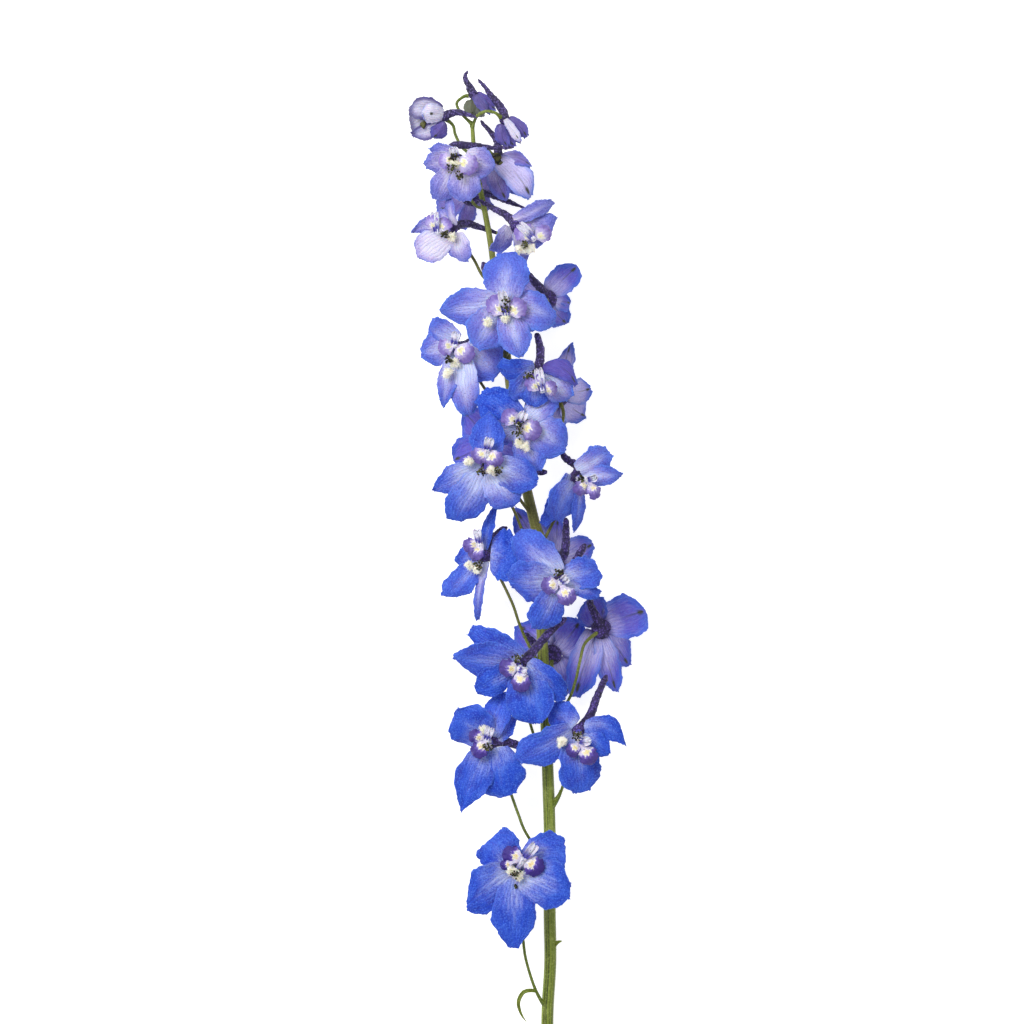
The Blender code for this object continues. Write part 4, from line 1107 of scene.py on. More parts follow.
# Sepals that differ from the rest of their floret, by its name and their number. A tone far below 0
# turns olive green, and a reach above 1 puts the bud's spot on the inner side too, nearer the foot.
OWN_LOOKS = {
    ("floret_01", 3): (0.02, 0.16), ("floret_02", 3): (0.0, 0.1), ("floret_02", 4): (0.0, 0.16),
    ("floret_04", 3): (0.02, 0.12), ("floret_06", 0): (0.2, 0.25), ("floret_06", 2): (0.45, 0.5),
    ("floret_06", 3): (0.45, 0.55), ("floret_06", 4): (0.3, 0.1), ("floret_07", 2): (0.7, 0.3),
    ("floret_08", 0): (0.25, 0.4), ("floret_08", 1): (0.22, 0.36), ("floret_10", 0): (0.7, 0.3),
    ("floret_10", 1): (0.75, 0.3), ("floret_11", 0): (0.1, 0.15), ("floret_13", 0): (0.0, 0.1),
    ("floret_15", 0): (-0.2, -0.4), ("floret_15", 1): (0.9, 0.6), ("floret_15", 4): (0.05, 0.1),
    ("floret_16", 2): (0.6, 0.5), ("floret_16", 3): (0.75, 0.6), ("floret_17", 0): (0.5, 0.22),
    ("floret_19", 1): (0.5, 0.1), ("floret_20", 3): (0.9, 0.85), ("floret_20", 4): (0.5, 0.6),
    ("floret_23", 0): (0.2, 0.3), ("floret_23", 1): (1.0, 0.93), ("floret_23", 2): (0.0, 0.5),
    ("bud_left", 0): (-0.6, 0.9), ("bud_left", 1): (-0.7, 0.93), ("bud_left", 2): (-0.5, 0.8),
    ("bud_left", 3): (-0.3, 0.1), ("bud_left", 4): (1.0, 1.3), ("bud_right", 1): (1.0, 1.06),
    ("bud_top", 2): (-0.7, 0.1), ("bud_top", 4): (-0.9, 0.1),
}
print("sepals with looks of their own:", len(OWN_LOOKS))

# %% How the sepals end and bend
# Point and blunt go from 0 to 1, and skew to the left or right from -1 to 1. Fold lifts the left or
# right edge, bend is in millimetres to the right, and cup lifts both edges. A floret that isn't
# listed draws these at random.
CUTS = {
    "floret_01": [Cut(0.1, 1.0, 0, 0.1), Cut(0.1, 0.95, -0.3, 0, -3.5), Cut(0.2, 0.45, 0.2, -0.2),
                  Cut(0.5, 0.35), Cut(0.3, 0.25, -0.5)],
    "floret_02": [Cut(0.5, 0.35), Cut(0.2, 0.2), Cut(0.5), Cut(0, 0.6, 0.1), Cut(1, 0.1, -0.1, 0.3)],
    "floret_03": [Cut(0.2, 0.3), Cut(0.2, 0.4, 0.3), Cut(0, 0.6, 0, 0.2), Cut(0.5, 0.2),
                  Cut(0.7, 0.2, 0.2, -0.5, -3.5)],
    "floret_04": [Cut(0.5, 0.4, 0.1), Cut(0.8, 0.2), Cut(0.2, 0.4), Cut(0, 0.3, 0, -0.1),
                  Cut(0.3, 0.3, 0, -0.5)],
    "floret_06": [Cut(0, 0.25), Cut(0.4, 0.3, 0, 0.2), Cut(0.4, 0.3), Cut(0.2, 0.5, 0, -0.2),
                  Cut(0.2, 0.3)],
    "floret_07": [Cut(1), Cut(0, 0.5, 0, 0.2), Cut(0.3, 0.3), Cut(0.1, 0.75, 0.5), Cut(0.4, 0.2)],
    "floret_08": [Cut(0.1, 0.5), Cut(0.2, 0.5, 0.2), Cut(0, 0.7, 0.1), Cut(0.2, 0.8, 0, 0.6),
                  Cut(0.1, 0.8, 0.1, 0.5)],
    "floret_10": [Cut(0.8, 0.2, 0, -0.4), Cut(0.1, 0.6), Cut(0, 0.6, 0.1, 0, 3), Cut(0.3, 0.3),
                  Cut(0.3, 0.3)],
    "floret_11": [Cut(0.4), Cut(0.6, 0.2, 0.1), Cut(0.1, 0.6, 0.2), Cut(0, 0.4), Cut(0, 0.3)],
    "floret_13": [Cut(0.1, 0.7, -0.2), Cut(0.2, 0.3), Cut(0.3, 0.3), Cut(0.1, 0.3), Cut(0.2, 0.4)],
    "floret_15": [Cut(0.6, 0.2, 0, 0, -3.5, 0.15), Cut(0.1, 0.5), Cut(0.2, 0.4), Cut(0.2, 0.4),
                  Cut(0.1, 0.6, 0.2)],
    "floret_16": [Cut(0.1, 0.8, 0.1), Cut(0.5, 0.4), Cut(0.6, 0.1), Cut(0.2, 0.4), Cut(0.1, 0.5)],
    "floret_17": [Cut(0.1, 0.6), Cut(0.5, 0.2, 0.2), Cut(0.2, 0.4), Cut(0.3, 0.2), Cut(0.3, 0.4, 0.3)],
    "floret_18": [Cut(0, 0.2), Cut(0.3, 0.3), Cut(0.2, 0.3), Cut(0.3, 0.3), Cut(0.3, 0.3)],
    "floret_19": [Cut(0.5), Cut(0.2, 0.6, 0.4), Cut(0.1, 0.8, -0.5), Cut(0.4, 0.2),
                  Cut(0.1, 0.6, 0.2, 0.3)],
    "floret_20": [Cut(0.3, 0.3), Cut(0.8), Cut(1, 0, 0, 0.3, 2), Cut(0.1, 0.4, 0.1), Cut(0.2, 0.6, -0.2)],
    "floret_22": [Cut(0.5, 0.3, 0.2), Cut(0.3, 0.5, 0.3, 0.3), Cut(0.4, 0.3), Cut(0.1, 0.5), Cut(0.2, 0.5)],
    "floret_23": [Cut(0.7, 0, 0, 0, -1.5, 0.3), Cut(0, 0.4, 0, 0, -2), Cut(0.1, 0.3, 0, 0, 1),
                  Cut(0.3, 0.3), Cut(0.3, 0.3)],
    "bud_left": [Cut(0.2, 0.5, 0, 0, 1.5, 0.1), Cut(0.1, 0.7), Cut(0.2, 0.5, 0, 0, -1.5, 0.2),
                 Cut(0, 0.4, 0, 0, -1, 0.4), Cut(0, 0.2, 0, 0, 0, -0.3)],
    "bud_right": [Cut(0.2, 0.5, 0, 0, -0.8, 0.25), Cut(0.3, 0.4), Cut(0.3, 0.4, 0, 0, 0.8, 0.25),
                  Cut(0.3, 0.3, 0, 0, 0, 0.2), Cut(0.3, 0.5, 0, 0, 1.2, 0.15)],
    "bud_top": [Cut(0.6, 0.2, 0, 0, 0, 0.2), Cut(0.5, 0.3, 0, 0, 0, 0.2), Cut(0.3, 0.3, 0, 0, 0, 0.2),
                Cut(0.3, 0.3, 0, 0, 0, 0.2), Cut(0.3, 0.5, 0, 0, 0.5, 0.25)],
}
print("florets with cuts of their own:", len(CUTS))

# %% Turned sepals and dark middles
# Sepals seen from the side: 1 where they turn the inner side to the camera, -1 for the outer side, and
# 0 where they face as their floret does.
TURNED = {
    "floret_15": (-1, 0, 0, 0, 0), "floret_23": (-1, -1, -1, -1, -1), "bud_left": (1, 1, 1, -1, 1),
    "bud_right": (-1, 1, -1, -1, -1), "bud_top": (-1, -1, -1, -1, -1),
}
# Dark olive grains with their radius: a fallen anther, and the middles that show where a bud opens.
DARK_MIDDLES = {
    "floret_01": [(-5, -127.5, 31.6, 0.8)],
    "bud_left": [(-44, 192, 26, 1.5), (-42.5, 193.5, 26, 1)],
    "floret_23": [(-13.5, 178, 21.5, 2.6), (-16, 177.5, 22, 1.6), (-12, 176, 22, 1.8)],
}
print("florets with turned sepals:", len(TURNED), "with dark middles:", len(DARK_MIDDLES))

# %% Sepals and spur
BLUE_FLORETS = 18
SEPAL_BULGE = 0.09
HIDDEN_SEPAL_BULGE = -0.07
RING_RADIUS = 2.8
BUD_RING_RADIUS = 2.0
SPUR_RADII = (2.1, 1.3)
UPPER_SPUR_RADII = (2.1, 0.5)
SEPAL_STEPS_UP = (0.0, 0.8, 0.2, 0.9, 0.4)
HUB_GIRTHS = {"seen": 2.9, "hidden": 4.4, "none": 2.0}
HUB_HEIGHT = 2.4
SPUR_STEPS = 30


def grow_bloom(number, floret):
    """The five sepals, the hub they spring from and the spur behind it."""
    growth = Growth()
    draw = random.Random(floret.name + "_rosette")
    hub = Vector(floret.hub)
    faces = Vector(floret.faces).normalized()
    bulge = HIDDEN_SEPAL_BULGE if floret.eye == "hidden" else SEPAL_BULGE
    tips = [Vector(sepal[:3]) for sepal in floret.sepals]
    tone, pale = LOOKS[floret.name]
    phases = [draw.uniform(0, math.tau) for _ in tips]
    ring = BUD_RING_RADIUS if floret.eye == "none" else RING_RADIUS
    for n, (k, root) in enumerate(blade_roots(hub, faces, ring, tips)):
        step_up = SEPAL_STEPS_UP[n]
        looks = (pale + draw.uniform(-0.06, 0.06), tone + draw.uniform(-0.15, 0.15))
        chance_cut = Cut(draw.uniform(0.2, 0.7), draw.uniform(0.1, 0.5), draw.uniform(-0.3, 0.3))
        cut = CUTS[floret.name][k] if floret.name in CUTS else chance_cut
        if (floret.name, k) in OWN_LOOKS:
            looks = OWN_LOOKS[floret.name, k][::-1]
        width = floret.sepals[k][3]
        up, arch = faces, bulge
        side = TURNED.get(floret.name, (0,) * 5)[k]
        if side:
            up = Vector((0, 0, side))
            arch = bulge * side
            cut = cut._replace(bend=cut.bend * side, skew=cut.skew * side, fold=cut.fold * side)
        grow_sepal(growth, root, tips[k], width, up, arch, phases[n], draw, looks, step_up, cut)
    girth = HUB_GIRTHS[floret.eye]
    grow_ball(growth, hub, faces, HUB_HEIGHT, girth, numpy.linspace(-1.5, 1.3, 9), 14, 1, pebble=0.15)
    for x, y, z, size in DARK_MIDDLES.get(floret.name, []):
        turns = numpy.linspace(-1.5, 1.5, 9)
        grow_ball(growth, Vector((x, y, z)), UP, size, size, turns, 12, 2, pebble=0.9)
    route = smooth_route([hub, *floret.spur], SPUR_STEPS)
    base, end = SPUR_RADII if number < BLUE_FLORETS else UPPER_SPUR_RADII
    radii = [end + (base - end) * (1 - k / SPUR_STEPS) ** 0.9 for k in range(SPUR_STEPS - 1)]
    radii += [end * 0.8, end * 0.4]
    grow_tube(growth, route, radii, 12, 1, pebble=0.5, chance=draw.random(), tone=number / len(FLORETS))
    skin = blue_skin if number < BLUE_FLORETS else violet_skin
    return growth.piece(floret.name + "_bloom", [skin, spur_skin, anther_skin])


# %% Grow the blooms
def settle(piece, node):
    """Ride on the plant and stand for the CAD node."""
    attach(piece, "root")
    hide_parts(node)


blooms = []
for number, floret in enumerate(FLORETS):
    bloom = grow_bloom(number, floret)
    settle(bloom, floret.name + "_sepals")
    blooms.append(bloom)
print("blooms:", len(blooms), "faces:", sum(len(bloom.data.polygons) for bloom in blooms))

# %% [markdown]
# ## Hairs and stamens by Geometry Nodes
# Short hairs make the beard of the lower petals and the tufts beside them, and a fine down covers the
# stem. All of them are the same job: scatter points on the faces that the mesh marks as hairy, and stand
# a thin cone on each, leaning a little at random. Placing them in Python would work, but Geometry Nodes
# scatter evenly over a curved surface with no effort, and the inputs can be turned by hand afterwards.
# The tree ends by making the copies real and giving them their finish, because an export knows nothing of
# instances.


# %% A tree with named inputs
def new_tree(name, inputs):
    """An empty Geometry Nodes tree. The inputs are pairs of a name and a kind of socket."""
    tree = bpy.data.node_groups.new(name, "GeometryNodeTree")
    tree.interface.new_socket("Geometry", in_out="INPUT", socket_type="NodeSocketGeometry")
    for label, kind in inputs:
        tree.interface.new_socket(label, in_out="INPUT", socket_type="NodeSocket" + kind)
    tree.interface.new_socket("Geometry", in_out="OUTPUT", socket_type="NodeSocketGeometry")
    sheet = NodeSheet(tree)
    return sheet, sheet.node("NodeGroupInput")


def close_tree(sheet, given, grown):
    """Send out what has grown, together with the piece that it has grown on."""
    joined = sheet.join(grown, given.part("Geometry"))
    out = sheet.tree.nodes.new("NodeGroupOutput")
    sheet.tree.links.new(joined.socket, out.inputs[0])
    return sheet.tree


def random_vector(sheet, low, high, seed):
    """Three random numbers for each copy."""
    return sheet.node("FunctionNodeRandomValue", {"data_type": "FLOAT_VECTOR"}, {0: low, 1: high, 8: seed})


def random_size(sheet, low, high, seed):
    """One random number for each copy."""
    return sheet.node("FunctionNodeRandomValue", {"data_type": "FLOAT"}, {2: low, 3: high, 8: seed}, 1)


def dress(piece, tree, amounts):
    """Put a tree on a piece with its inputs set, each by the identifier of its socket."""
    modifier = piece.modifiers.new(tree.name, "NODES")
    modifier.node_group = tree
    keys = {item.name: item.identifier for item in tree.interface.items_tree if item.in_out == "INPUT"}
    for label, amount in amounts.items():
        modifier[keys[label]] = amount


def harden(piece):
    """Turn what the trees made into a plain mesh and take the trees off."""
    graph = bpy.context.evaluated_depsgraph_get()
    mesh = bpy.data.meshes.new_from_object(piece.evaluated_get(graph))
    old = piece.data
    piece.modifiers.clear()
    piece.data = mesh
    bpy.data.meshes.remove(old)
    mesh.name = piece.name
    return mesh


# %% Tree for hairs
FULL_TURN = 6.28


def hair_tree():
    """Cones on the faces whose points are marked as hairy, each leaning at random."""
    inputs = [("Density", "Float"), ("Length", "Float"), ("Thickness", "Float"), ("Lean", "Float"),
              ("Seed", "Int"), ("Finish", "Material")]
    sheet, given = new_tree("fine_hairs", inputs)
    amount = sheet.node("GeometryNodeInputNamedAttribute", {"data_type": "FLOAT"}, {"Name": "hair"})
    scatter = sheet.node("GeometryNodeDistributePointsOnFaces", {"distribute_method": "RANDOM"}, {
        "Mesh": given.part("Geometry"), "Density": amount * given.part("Density"), "Seed": given.part("Seed"),
    })
    cone = sheet.node("GeometryNodeMeshCone", {"fill_type": "NGON"}, {
        "Vertices": 3, "Side Segments": 1, "Radius Top": 0.0, "Radius Bottom": given.part("Thickness"),
        "Depth": given.part("Length"),
    })
    lean = given.part("Lean")
    most = sheet.vector(lean, lean, FULL_TURN)
    tilt = random_vector(sheet, sheet.vector(0 - lean, 0 - lean, 0.0), most, 3)
    turn = sheet.node("FunctionNodeRotateRotation", {"rotation_space": "LOCAL"}, {
        0: scatter.part("Rotation"), 1: sheet.node("FunctionNodeEulerToRotation", {}, {0: tilt}),
    })
    size = random_size(sheet, 0.6, 1.2, 5)
    hairs = sheet.node("GeometryNodeInstanceOnPoints", {}, {
        "Points": scatter, "Instance": cone, "Rotation": turn, "Scale": sheet.vector(1.0, 1.0, size),
    })
    real = sheet.node("GeometryNodeRealizeInstances", {}, {0: hairs})
    skinned = sheet.node("GeometryNodeSetMaterial", {}, {0: real, "Material": given.part("Finish")})
    return close_tree(sheet, given, skinned)


fine_hairs = hair_tree()
print("tree:", fine_hairs.name, "nodes:", len(fine_hairs.nodes))

# %% [markdown]
# The stamens stand in a bunch between the four petals of the eye. Each is a pale thread that bends over
# and carries a dark anther. One stamen is swept along a curve and given an anther, then it is set on a
# handful of points, each turned and tipped at random. The tree takes the place and the turn of the bunch
# as inputs, so that one tree serves all of them.

# %% Tree for stamens
BUNCH_RADIUS = 0.0009
BUNCH_RISE = 0.0004
THREAD_SHARE = 0.034
ANTHER_SHARE = 0.19


def stamen_tree():
    """A bunch of bent threads with an anther each, whose widths are shares of their length."""
    inputs = [("Place", "Vector"), ("Turn", "Rotation"), ("Count", "Int"), ("Length", "Float"),
              ("Spread", "Float"), ("Seed", "Int"), ("Thread finish", "Material"),
              ("Anther finish", "Material")]
    sheet, given = new_tree("stamen_bunch", inputs)
    length = given.part("Length")
    curve = sheet.node("GeometryNodeCurveQuadraticBezier", {}, {
        "Resolution": 6, "Start": (0.0, 0.0, 0.0), "Middle": sheet.vector(0.0, 0.0, length * 0.7),
        "End": sheet.vector(length * 0.35, 0.0, length),
    })
    ring = sheet.node("GeometryNodeCurvePrimitiveCircle", {"mode": "RADIUS"}, {
        "Resolution": 5, "Radius": length * THREAD_SHARE,
    })
    sweep = {"Curve": curve, "Profile Curve": ring, "Fill Caps": True}
    thread = sheet.node("GeometryNodeCurveToMesh", {}, sweep)
    thread = sheet.node("GeometryNodeSetMaterial", {}, {0: thread, "Material": given.part("Thread finish")})
    ball = sheet.node("GeometryNodeMeshIcoSphere", {}, {"Radius": length * ANTHER_SHARE, "Subdivisions": 2})
    anther = sheet.node("GeometryNodeTransform", {}, {
        0: ball, "Translation": sheet.vector(length * 0.36, 0.0, length), "Scale": (0.9, 0.75, 1.5),
    })
    anther = sheet.node("GeometryNodeSetMaterial", {}, {0: anther, "Material": given.part("Anther finish")})
    stamen = sheet.join(thread, anther)
    seed = given.part("Seed")
    spread = given.part("Spread")
    corner = Vector((BUNCH_RADIUS, BUNCH_RADIUS, BUNCH_RISE))
    spots = random_vector(sheet, -corner, corner, seed)
    feet = sheet.node("GeometryNodePoints", {}, {"Count": given.part("Count"), "Position": spots})
    most = sheet.vector(spread, spread, FULL_TURN / 2)
    tip_over = random_vector(sheet, sheet.vector(0 - spread, 0 - spread, -FULL_TURN / 2), most, seed + 1)
    size = random_size(sheet, 0.65, 1.1, seed + 2)
    bunch = sheet.node("GeometryNodeInstanceOnPoints", {}, {
        "Points": feet, "Instance": stamen,
        "Rotation": sheet.node("FunctionNodeEulerToRotation", {}, {0: tip_over}),
        "Scale": sheet.vector(size, size, size),
    })
    real = sheet.node("GeometryNodeRealizeInstances", {}, {0: bunch})
    placed = sheet.node("GeometryNodeTransform", {}, {
        0: real, "Translation": given.part("Place"), "Rotation": given.part("Turn"),
    })
    return close_tree(sheet, given, placed)


stamen_bunch = stamen_tree()
print("tree:", stamen_bunch.name, "nodes:", len(stamen_bunch.nodes))

# %% [markdown]
# ## The eye of a floret
# The eye has two round lower petals with a beard, and two small upright upper ones. They spring from a
# short column on the hub, a little above the sepals. A lower petal is a narrow claw that widens into a
# disc, so its outline is a circle with a strap. The upper petals are notched at their tips.

# %% Eye sizes
HUB_RADIUS = 2.2
SEAT_GAP = 0.3
COLUMN_HEIGHT = 3.2
COLUMN_RADII = (1.3, 1.2, 1.5, 1.2)
EYE_RING_RADIUS = 1.1
LOBE_HEIGHT = 5.0
HIDDEN_LOBE_REACH = 2.4
LOBE_THICKNESS = 0.4
UPPER_THICKNESS = 0.35
UPPER_WIDTH = 2.3
UPPER_BACK = 3.2
UPPER_SPREAD = 1.0
UPPER_RISE = 1.4
TUFT_HEIGHT = 1.5
TUFT_RADIUS = 1.7
STAMENS = {"seen": 24, "hidden": 8}
print("a lower petal stands", LOBE_HEIGHT, "mm above the hub")


# %% Petals of the eye
def grow_lobe(growth, root, tip, reach, faces, draw, tone):
    """A lower petal: a strap that widens into a bearded disc."""
    length = (tip - root).length
    disc = min(reach / length, 0.48)
    middle = 1 - disc
    steps, across = blade_steps(20, 14)
    phase = draw.uniform(0, math.tau)

    def shape(s, t):
        round_part = math.sqrt(max(0, 1 - ((s - middle) / disc) ** 2)) if s > middle - disc else 0
        half = reach * max(round_part, 0.3 if s < middle else 0.06)
        ragged = 0.1 * math.sin(17 * s + phase + t) + 0.06 * math.sin(39 * s + t)
        sideways = half * t * (1 + ragged * abs(t))
        ahead = -0.22 * reach * s**6 * math.exp(-((t / 0.3) ** 2)) + 0.3 * s**6 * math.sin(9 * t + phase)
        hump = 0.9 * math.exp(-(((s - middle) / disc) ** 2) * 3 - t * t * 3)
        frill = 0.45 * math.sin(6 * math.atan2(t, (s - middle) / disc) + phase) * (t * t + s**4) * 0.7
        lift = 0.3 + hump + frill - 0.7 * t * t * s - 1.6 * max(0, s - 0.8)
        return sideways, ahead, lift

    def beard(s, t):
        place = 1 - (1 - s) ** TIP_CROWDING
        return max(0.0, 1 - math.hypot(t * 2.6, ((place - middle) / disc + 0.3) * 2.2))

    grid = blade_grid(root, tip, 0.4, faces, 0, steps, across, shape)
    along = [max(0, 0.6 + 0.4 * (s - middle) / disc) for s in steps]
    grow_sheet(growth, grid, faces, LOBE_THICKNESS, 0, map_across(across), along, 0, draw.random(), tone,
               beard)


def grow_upper(growth, root, tip, faces, draw):
    """An upper petal: a small upright spoon with a notch in its tip."""
    steps, across = blade_steps(12, 8)
    phase = draw.uniform(0, math.tau)

    def shape(s, t):
        body = 0.45 + 0.55 * math.sin(math.pi / 2 * min(1, s / 0.6))
        body *= 1 if s < 0.7 else math.sqrt(max(0.08, 1 - ((s - 0.7) / 0.31) ** 2))
        ahead = -0.5 * s**6 * math.exp(-((t / 0.35) ** 2)) + 0.4 * s * math.sin(5 * t + phase)
        return UPPER_WIDTH / 2 * body * t, ahead, 0.9 * t * t + 0.25 * math.sin(6 * s + 3 * t + phase)

    grid = blade_grid(root, tip, 0.4, faces, 0, steps, across, shape)
    grow_sheet(growth, grid, faces, UPPER_THICKNESS, 1, map_across(across), steps, 0, draw.random())


# %% [markdown]
# The eye of each floret in the photo is turned its own way. The table below says where the middle of the
# eye is, where its lower petals lie and how large they are, where its bunches of stamens stand, where the
# upper petals point, and where tufts of pale fluff show beside them. The eyes that face the table are
# hardly seen, so they have no row and take a plain place from a rule.

# %% Middles of the eyes
Middle = namedtuple("Middle", "centre lobes stamens uppers tufts")
MIDDLES = {
    "floret_01": Middle((-1.5, -115), [(-6.8, -114, 4), (2.4, -118.6, 4.4), (-9.4, -118.2, 2.2)],
                        [(-5, -121.5)], (3.4, -109.3), [(-7, -120.5), (-4, -122.5)]),
    "floret_02": Middle((-17, -65.5), [(-21.8, -64.3, 3), (-20.3, -69.8, 3.7)], [(-15.5, -68.5)],
                        (-15.5, -60.5), [(-18.5, -61.5)]),
    "floret_03": Middle((21.5, -66), [(18.8, -70, 3), (25.2, -72.3, 4)], [(20, -63.5)], (26, -66),
                        [(14, -66.5)]),
    "floret_04": Middle((-3.5, -36), [(-8.2, -35.5, 3.9), (-3, -41.6, 4)], [(-4, -31)], (-0.5, -37), []),
    "floret_07": Middle((-20, 16.5), [(-24, 15.5, 3.2), (-21.5, 12.5, 3.6)], [(-19.5, 7.5)], (-21, 22),
                        [(-24.5, 7), (-21.5, 5.5)]),
    "floret_08": Middle((13.5, 0.5), [(9.2, -1, 3.9), (16, -5.6, 4)], [(12.5, 5)], (16.3, 2.5), []),
    "floret_10": Middle((25, 43), [(22.5, 39.8, 3.7), (27.5, 38, 3.2)], [(20.5, 43)], (28.5, 44.5), []),
    "floret_11": Middle((-17, 55.5), [(-20, 53, 3.6), (-14.3, 51.5, 4)], [(-19.5, 46.5), (-12.5, 47)],
                        (-15.8, 60), [(-15.5, 46.5), (-24.5, 50.5)]),
    "floret_13": Middle((-4, 66), [(-7.5, 68.8, 3.8), (1.3, 63.5, 4.4)], [(-3.8, 66), (-4.2, 62.5)],
                        (-1.5, 71), [(-3.8, 58.3), (-1.2, 56.8)]),
    "floret_15": Middle((6, 79.5), [(2.5, 83, 4), (8.5, 80.5, 3.6)], [(0.5, 87)], (4, 89), []),
    "floret_16": Middle((-30.5, 99.5), [(-34, 98.3, 3.6), (-27, 96, 4.8)], [(-32, 93)], (-29.5, 104),
                        [(-30.5, 91.5), (-33.5, 87.5)]),
    "floret_17": Middle((-9, 111), [(-13.2, 115.2, 4.4), (-4.8, 114, 4.4)], [(-9.3, 113.5), (-9.3, 117.5)],
                        (-11, 121), [(-17, 108.3), (-9.3, 110)]),
    "floret_19": Middle((2.5, 143), [(-1.5, 145.8, 4.2), (6, 145.3, 3.9)], [(-2.5, 141)], (-4, 149.5),
                        [(-3.5, 138.8), (0.5, 139.3)]),
    "floret_20": Middle((-38, 146.5), [(-40, 150.5, 3.2), (-35.5, 149, 3.6)], [(-33.5, 145.5)],
                        (-38.5, 154.5), [(-32, 144.5)]),
    "floret_22": Middle((-30, 177), [(-34, 175.5, 3.4), (-25.5, 174.2, 4.6)],
                        [(-31.5, 172.5), (-28.5, 169.5), (-30.5, 177.5)], (-31, 181), [(-30, 174.5)]),
}
print("eyes with a place of their own:", len(MIDDLES))


# %% Where the parts of an eye go
def eye_places(floret, hub, faces, head):
    """The middle of the eye, its lower and upper petals, its bunches of stamens and its tufts."""
    if floret.eye == "seen":
        middle = MIDDLES[floret.name]
        return SimpleNamespace(
            centre=Vector((*middle.centre, head.z)),
            lobes=[Vector((x, y, hub.z + LOBE_HEIGHT)) for x, y, _ in middle.lobes],
            reaches=[reach for _, _, reach in middle.lobes],
            target=Vector((*middle.uppers, head.z + UPPER_RISE)),
            bunches=[Vector((x, y, head.z - 1)) for x, y in middle.stamens],
            tufts=[Vector((x, y, head.z - 0.8)) for x, y in middle.tufts])
    away = Vector((0, -1, 0)) + faces * faces.y
    across = away.normalized().cross(faces) * 1.6
    return SimpleNamespace(
        centre=head, lobes=[head + away * 1.2 + across, head + away * 1.2 - across],
        reaches=[HIDDEN_LOBE_REACH] * 2, target=head - away * UPPER_BACK + faces * UPPER_RISE,
        bunches=[head], tufts=[])


# %% Grow an eye
def grow_heart(number, floret):
    """The two lower petals, the two upper ones, the column that carries them and the stamens."""
    growth = Growth()
    draw = random.Random(floret.name + "_petals")
    hub = Vector(floret.hub)
    faces = Vector(floret.faces).normalized()
    foot = hub + faces * (HUB_RADIUS + SEAT_GAP)
    tone = number / len(FLORETS)
    places = eye_places(floret, hub, faces, foot + faces * COLUMN_HEIGHT)
    centre, target = places.centre, places.target
    for lobe, reach in zip(places.lobes, places.reaches):
        out = (lobe - centre).normalized()
        root = centre + out * EYE_RING_RADIUS - faces * 0.6
        grow_lobe(growth, root, lobe + out * reach, reach, faces, draw, tone)
    back = (target - centre).normalized()
    spread = back.cross(faces) * UPPER_SPREAD
    for sign in (1, -1) if floret.eye == "seen" else (0,):
        grow_upper(growth, centre + spread * sign * 0.6, target + spread * sign, faces, draw)
    for tuft in places.tufts:
        turns = numpy.linspace(-1.5, 1.5, 8)
        grow_ball(growth, tuft, UP, TUFT_HEIGHT, TUFT_RADIUS, turns, 14, 2, pebble=1.8, hair=0.5,
                  chance=draw.random())
    column = [foot - faces * 0.6, foot.lerp(centre, 0.4), foot.lerp(centre, 0.8), centre + faces * 0.4]
    grow_tube(growth, column, COLUMN_RADII, 10, 1)
    heart = growth.piece(floret.name + "_heart", [lobe_skin, upper_skin, fluff_skin])
    seed = draw.randint(1, 9999)
    turn = faces.to_track_quat("Z", "Y")
    dress(heart, fine_hairs, {
        "Density": 9.0e6, "Length": 1.1 * MM, "Thickness": 0.08 * MM, "Lean": 0.8, "Seed": seed,
        "Finish": beard_skin,
    })
    for place in places.bunches:
        seed += 1
        dress(heart, stamen_bunch, {
            "Place": tuple(place * MM), "Turn": tuple(turn.to_euler()), "Count": STAMENS[floret.eye],
            "Length": 2.7 * MM, "Spread": 0.36, "Seed": seed,
            "Thread finish": filament_skin, "Anther finish": anther_skin,
        })
    harden(heart)
    return heart


# %% Grow the eyes
hearts = []
for number, floret in enumerate(FLORETS):
    if floret.eye != "none":
        heart = grow_heart(number, floret)
        settle(heart, floret.name + "_eye")
        hearts.append(heart)
print("eyes:", len(hearts), "faces:", sum(len(heart.data.polygons) for heart in hearts))

# %% [markdown]
# ## Stem, stalks and leaflets
# The main stem is ribbed and thins towards the tip, and its lower end is a clean cut. Each stalk leaves
# it with a swollen foot and widens again below its floret. The small leaflets are narrow folded blades.
# It could all be one curve object with a bevel, but ribs and a fine down need a real mesh.

# %% Grow the stem
STALK_SEAT = 2.2
STALK_STEPS = 34
STALK_RADIUS = 0.62
FOOT_SWELLING = 0.55
TOP_SWELLING = 0.4
BRACT_STEPS = 14
BRACT_COLUMNS = 6
BRACT_THICKNESS = 0.35


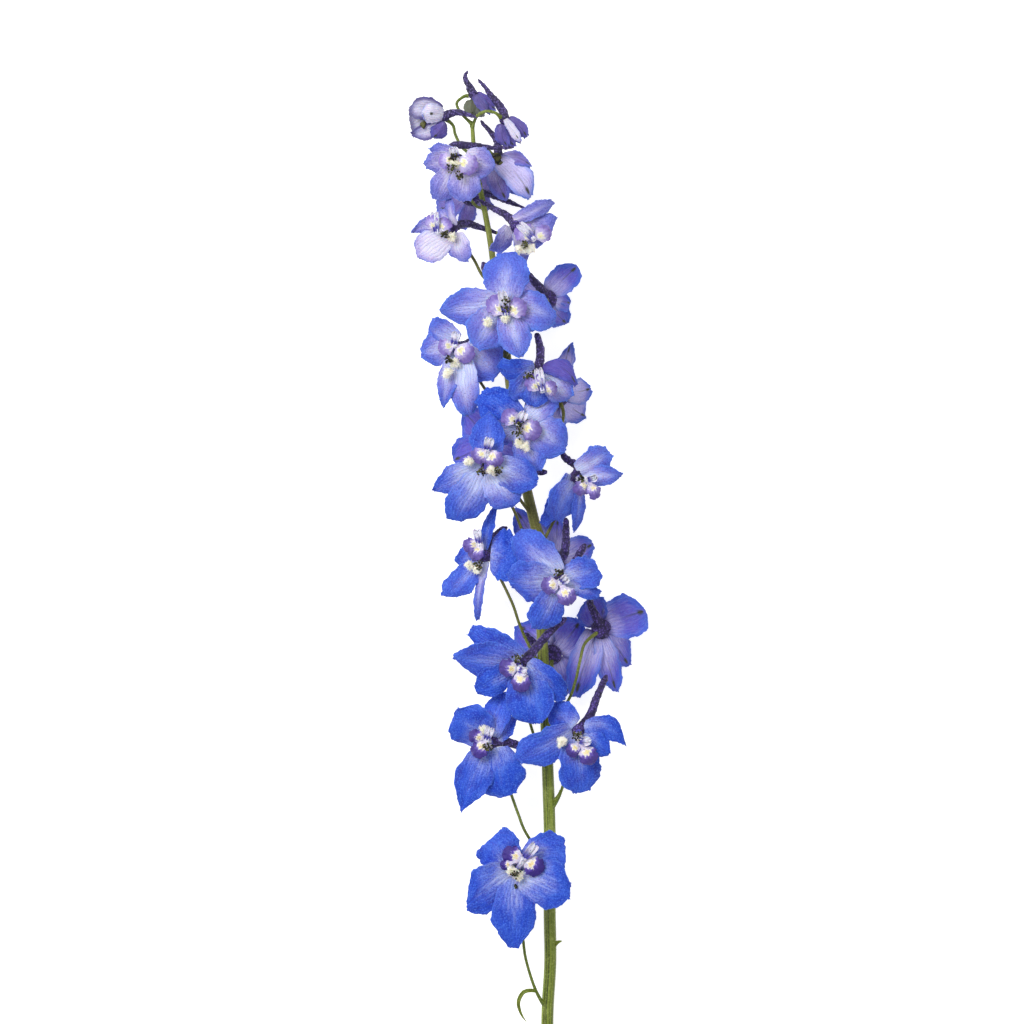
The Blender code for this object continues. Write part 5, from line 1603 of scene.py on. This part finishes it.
def grow_stem():
    """The ribbed stem, a stalk for each floret and bud, and the leaflets, all with a fine down."""
    growth = Growth()
    heights = [stop[1] for stop in STEM_ROUTE]
    diameters = [stop[3] for stop in STEM_ROUTE]
    radii = [float(numpy.interp(place.y, heights, diameters)) / 2 for place in stem_line]
    grow_tube(growth, stem_line, radii, 24, 0, end_skin=1, ribs=8, hair=0.5)
    for floret in FLORETS:
        hub = Vector(floret.hub)
        last = Vector(floret.stalk[-1])
        seat = hub + (last - hub).normalized() * STALK_SEAT
        line = smooth_route([*floret.stalk, seat], STALK_STEPS)
        radii = []
        for k in range(STALK_STEPS + 1):
            s = k / STALK_STEPS
            swelling = FOOT_SWELLING * math.exp(-s * 14) + TOP_SWELLING * math.exp(-(1 - s) * 12)
            radii.append(STALK_RADIUS + swelling)
        grow_tube(growth, line, radii, 10, 0, ribs=5, hair=1.0, tone=1.0)
    for bract in BRACTS:
        _, across = blade_steps(BRACT_STEPS, BRACT_COLUMNS)
        line = smooth_route(bract.route, BRACT_STEPS)
        grid = numpy.empty((BRACT_STEPS + 1, BRACT_COLUMNS + 1, 3))
        for i, place in enumerate(line):
            ahead = (line[min(i + 1, BRACT_STEPS)] - line[max(i - 1, 0)]).normalized()
            side = ahead.cross(UP).normalized()
            up = side.cross(ahead)
            widen = math.sin(math.pi * min(1, 0.25 + 0.75 * i / BRACT_STEPS)) ** 0.8
            half = bract.width / 2 * max(0.08, widen)
            for j, t in enumerate(across):
                grid[i, j] = place + side * half * t + up * half * 0.5 * abs(t)
        along = [i / BRACT_STEPS for i in range(BRACT_STEPS + 1)]
        grow_sheet(growth, grid, UP, BRACT_THICKNESS, 0, map_across(across), along)
    stem = growth.piece("stem_and_stalks", [stem_skin, cut_skin])
    dress(stem, fine_hairs, {
        "Density": 1.1e6, "Length": 0.55 * MM, "Thickness": 0.035 * MM, "Lean": 0.5, "Seed": 7,
        "Finish": down_skin,
    })
    harden(stem)
    return stem


stem = grow_stem()
settle(stem, "main_stem")
print("stem faces:", len(stem.data.polygons))

# %% [markdown]
# ## Triangles, and done
# The finished spike has to fill the same box as the imported model, give or take a few millimetres of
# ruffle. The last step counts the triangles of each piece.

# %% Measure and finish
triangles = {piece.name: sum(len(face.vertices) - 2 for face in piece.data.polygons)
             for piece in [*blooms, *hearts, stem]}
print("triangles:", sum(triangles.values()), "most in one piece:", max(triangles.values()))
